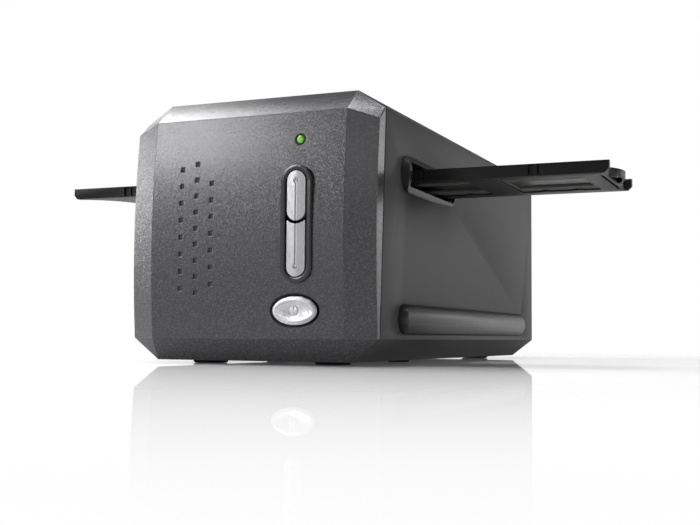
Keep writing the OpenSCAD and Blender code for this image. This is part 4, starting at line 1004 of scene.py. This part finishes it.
def facetBezel():
    # a small facet closes each corner of the bezel, between its bevels and the chamfer of the case
    look = bezelCorners
    bezel = nodes["front_bezel"]
    weldPoints(bezel)
    ends = {
        "Top": ("faceTopMm", "topWallMm", "caseTopMm", "topRearMm"),
        "Low": ("faceBottomMm", "lowWallMm", "footMm", "lowRearMm"),
    }
    for end, (faceKey, wallKey, edgeKey, rearKey) in ends.items():
        for side in (-1, 1):
            flat, half = side * look["flatHalfMm"], side * look["caseHalfMm"]
            cheek = look[wallKey]
            corners = [
                (flat, faceDepth(look[faceKey]), look[faceKey]),
                (flat, look[rearKey], look[edgeKey]),
            ]
            if end == "Top":
                # a top facet runs back to the sleeve and down the rear edge of the side bevel
                cheek = look["topCheekMm"]
                corners.append((half, look["topWallRearMm"], look[wallKey]))
            corners.append((half, faceDepth(cheek) + look["sideBevelMm"], cheek))
            cutCorner(bezel, "corner" + end + ("Left" if side < 0 else "Right"), corners)
    sharpenCreases(bezel, look["creaseDegrees"])


facetBezel()
print("bezel corners cut")

floorLook = {
    "sizeM": 8,
    "dropMm": 0.1,  # lies this far under the feet
    "colour": "#e2e2e2",
    "bounceColour": "#b4b4b4",  # what the scanner gets back from it
    "glow": 0.11,  # keeps the shadow under the case from going black
    "nearM": 0.16,  # inside this distance the floor is lit white and takes the shadow
    "farM": 0.42,  # beyond this one it is plain white
    "mirror": 0.75,  # share of mirror reflection close to the scanner, before Fresnel
    "mirrorFromM": 0.17,
    "mirrorToM": 0.54,
    "mirrorRoughness": 0.02,
    "ior": 1.45,
}


def makeFloor():
    mesh = bpy.data.meshes.new("floor")
    half = floorLook["sizeM"] / 2
    shape = bmesh.new()
    ring = ((-half, -half), (half, -half), (half, half), (-half, half))
    shape.faces.new([shape.verts.new((x, y, -floorLook["dropMm"] * mm)) for x, y in ring])
    shape.to_mesh(mesh)
    shape.free()
    floor = bpy.data.objects.new("floor", mesh)
    bpy.context.collection.objects.link(floor)
    # white gloss acrylic sheet: lit white under a mirror-like skin that fades away from the scanner
    material = bpy.data.materials.new("whiteAcrylicSheet")
    material.use_nodes = True
    tree = material.node_tree
    tree.nodes.clear()
    place = addNode(tree, "ShaderNodeTexCoord").outputs["Object"]
    away = addNode(
        tree, "ShaderNodeVectorMath", {"operation": "DISTANCE", 1: (caseX, 0, 0)}, {0: place}
    )
    ray = addNode(tree, "ShaderNodeLightPath")
    mirrored = addNode(
        tree,
        "ShaderNodeMath",
        {"operation": "MAXIMUM"},
        {0: ray.outputs["Is Camera Ray"], 1: ray.outputs["Is Glossy Ray"]},
    )
    seen = addNode(
        tree,
        "ShaderNodeMath",
        {"operation": "MAXIMUM"},
        {0: mirrored.outputs[0], 1: ray.outputs["Is Transmission Ray"]},
    )
    distant = addNode(
        tree,
        "ShaderNodeMapRange",
        {
            "interpolation_type": "SMOOTHSTEP",
            "From Min": floorLook["nearM"],
            "From Max": floorLook["farM"],
            "To Min": floorLook["glow"],
        },
        {"Value": away.outputs["Value"]},
    )
    whiteShare = addNode(
        tree,
        "ShaderNodeMath",
        {"operation": "MULTIPLY"},
        {0: seen.outputs[0], 1: distant.outputs["Result"]},
    )
    sheetTone = addNode(
        tree,
        "ShaderNodeMix",
        {
            "data_type": "RGBA",
            6: linearColour(floorLook["bounceColour"]),
            7: linearColour(floorLook["colour"]),
        },
        {0: seen.outputs[0]},
    )
    lit = addNode(tree, "ShaderNodeBsdfDiffuse", links={"Color": sheetTone.outputs[2]})
    white = addNode(tree, "ShaderNodeEmission", {"Color": (1, 1, 1, 1), "Strength": 1.0})
    sheet = addNode(
        tree,
        "ShaderNodeMixShader",
        links={0: whiteShare.outputs[0], 1: lit.outputs[0], 2: white.outputs[0]},
    )
    skin = addNode(
        tree,
        "ShaderNodeBsdfGlossy",
        {"Color": (1, 1, 1, 1), "Roughness": floorLook["mirrorRoughness"]},
    )
    fade = addNode(
        tree,
        "ShaderNodeMapRange",
        {
            "From Min": floorLook["mirrorFromM"],
            "From Max": floorLook["mirrorToM"],
            "To Min": floorLook["mirror"],
            "To Max": 0.0,
        },
        {"Value": away.outputs["Value"]},
    )
    fresnel = addNode(tree, "ShaderNodeFresnel", {"IOR": floorLook["ior"]})
    mirrorShare = addNode(
        tree,
        "ShaderNodeMath",
        {"operation": "MULTIPLY"},
        {0: fade.outputs["Result"], 1: fresnel.outputs[0]},
    )
    both = addNode(
        tree,
        "ShaderNodeMixShader",
        links={0: mirrorShare.outputs[0], 1: sheet.outputs[0], 2: skin.outputs[0]},
    )
    addNode(tree, "ShaderNodeOutputMaterial", links={"Surface": both.outputs[0]})
    mesh.materials.append(material)


makeFloor()

worldLook = {
    "low": 0.02,
    "high": 0.06,
    "towards": (-0.62, -0.1, 0.78),  # where the room is lightest
    "leanFrom": -0.3,
    "leanTo": 1.0,
    "bandFrom": 0.1,
    "bandTo": 0.24,
}


def makeWorld():
    # a soft room, lighter above on the left, with a white band at the horizon for glossy surfaces
    world = bpy.data.worlds.new("studio")
    bpy.context.scene.world = world
    world.use_nodes = True
    tree = world.node_tree
    tree.nodes.clear()
    sight = addNode(tree, "ShaderNodeTexCoord").outputs["Generated"]
    lean = addNode(
        tree, "ShaderNodeVectorMath", {"operation": "DOT_PRODUCT", 1: worldLook["towards"]}, {0: sight}
    )
    room = addNode(
        tree,
        "ShaderNodeMapRange",
        {
            "From Min": worldLook["leanFrom"],
            "From Max": worldLook["leanTo"],
            "To Min": worldLook["low"],
            "To Max": worldLook["high"],
        },
        {"Value": lean.outputs["Value"]},
    )
    parts = addNode(tree, "ShaderNodeSeparateXYZ", links={0: sight})
    band = addNode(
        tree,
        "ShaderNodeMapRange",
        {
            "From Min": worldLook["bandFrom"],
            "From Max": worldLook["bandTo"],
            "To Min": 1.0,
            "To Max": 0.0,
        },
        {"Value": parts.outputs["Z"]},
    )
    ray = addNode(tree, "ShaderNodeLightPath")
    glossy = addNode(
        tree,
        "ShaderNodeMath",
        {"operation": "MULTIPLY"},
        {0: ray.outputs["Is Glossy Ray"], 1: band.outputs["Result"]},
    )
    direct = addNode(
        tree,
        "ShaderNodeMath",
        {"operation": "MAXIMUM"},
        {0: ray.outputs["Is Camera Ray"], 1: ray.outputs["Is Transmission Ray"]},
    )
    seen = addNode(
        tree, "ShaderNodeMath", {"operation": "MAXIMUM"}, {0: direct.outputs[0], 1: glossy.outputs[0]}
    )
    strength = addNode(
        tree, "ShaderNodeMix", {3: 1.0}, {0: seen.outputs[0], 2: room.outputs["Result"]}
    )
    background = addNode(
        tree, "ShaderNodeBackground", {"Color": (1, 1, 1, 1)}, {"Strength": strength.outputs[0]}
    )
    addNode(tree, "ShaderNodeOutputWorld", links={"Surface": background.outputs[0]})


makeWorld()

softboxLook = {
    "hotShare": 0.2,
    "rimShare": 0.5,
    "gain": 2.5,  # makes up for what the rim loses
}


def softbox(name, place, aim, size, power):
    lamp = bpy.data.lights.new(name, "AREA")
    lamp.shape = "RECTANGLE"
    lamp.size, lamp.size_y = size
    lamp.energy = power
    # the cloth is brightest in the middle, so no hard rectangle shows in glossy surfaces
    lamp.use_nodes = True
    tree = lamp.node_tree
    tree.nodes.clear()
    spot = addNode(tree, "ShaderNodeNewGeometry").outputs["Parametric"]
    out = addNode(
        tree, "ShaderNodeVectorMath", {"operation": "DISTANCE", 1: (0.5, 0.5, 0.0)}, {0: spot}
    )
    cloth = addNode(
        tree,
        "ShaderNodeMapRange",
        {
            "interpolation_type": "SMOOTHSTEP",
            "From Min": softboxLook["hotShare"],
            "From Max": softboxLook["rimShare"],
            "To Min": softboxLook["gain"],
            "To Max": 0.0,
        },
        {"Value": out.outputs["Value"]},
    )
    shine = addNode(
        tree, "ShaderNodeEmission", {"Color": (1, 1, 1, 1)}, {"Strength": cloth.outputs["Result"]}
    )
    addNode(tree, "ShaderNodeOutputLight", links={"Surface": shine.outputs[0]})
    box = bpy.data.objects.new(name, lamp)
    box.location = place
    box.rotation_euler = (Vector(aim) - Vector(place)).to_track_quat("-Z", "Y").to_euler()
    bpy.context.collection.objects.link(box)


lampAim = (-0.03, -0.1, 0.07)  # all the softboxes face the front half of the scanner
lampPlan = {  # place, size and watts of each softbox
    "keyLight": ((-0.64, -0.96, 0.49), (0.38, 0.38), 4.8),
    "creaseLight": ((-0.92, -0.68, 0.45), (0.25, 0.25), 1.5),
    "leftLight": ((-1.2, -0.15, 0.32), (0.6, 0.5), 5.2),
    "bevelLight": ((-0.39, -0.075, 0.55), (0.45, 0.45), 3.5),
    "topLight": ((0.0, -0.05, 0.9), (0.4, 0.4), 4.6),
    "rightLight": ((1.2, -0.1, 0.3), (0.8, 0.5), 3.4),
    "backRightLight": ((0.7, 1.05, 0.32), (0.8, 0.4), 1.1),
    "backLeftLight": ((-0.68, 0.56, 0.44), (0.6, 0.5), 0.65),
    "frontLight": ((0.35, -1.2, 0.5), (0.5, 0.5), 1.0),
}
for name, (place, size, watts) in lampPlan.items():
    softbox(name, place, lampAim, size, watts)

cameraLook = {
    "place": (211.82 * mm, -549.7 * mm, 12.33 * mm),
    "yaw": 23.28,
    "pitch": 3.91,
    "roll": 0.46,
    "lens": 55.97,
    "sensor": 36,
    "clipStart": 0.01,
}


def makeCamera():
    yaw, pitch, roll = (math.radians(cameraLook[key]) for key in ("yaw", "pitch", "roll"))
    right = Vector((math.cos(yaw), math.sin(yaw), 0))
    ahead = Vector((-math.sin(yaw), math.cos(yaw), 0))
    sight = ahead * math.cos(pitch) + Vector((0, 0, 1)) * math.sin(pitch)
    up = right.cross(sight)
    sideways = math.cos(roll) * right + math.sin(roll) * up
    upright = -math.sin(roll) * right + math.cos(roll) * up
    data = bpy.data.cameras.new("camera")
    data.lens = cameraLook["lens"]
    data.sensor_width = cameraLook["sensor"]
    data.clip_start = cameraLook["clipStart"]
    camera = bpy.data.objects.new("camera", data)
    turn = Matrix((sideways, upright, -sight)).transposed()
    camera.matrix_world = Matrix.Translation(cameraLook["place"]) @ turn.to_4x4()
    bpy.context.collection.objects.link(camera)
    bpy.context.scene.camera = camera


makeCamera()
bpy.context.scene.view_settings.view_transform = "Standard"
print("floor, light and camera placed")
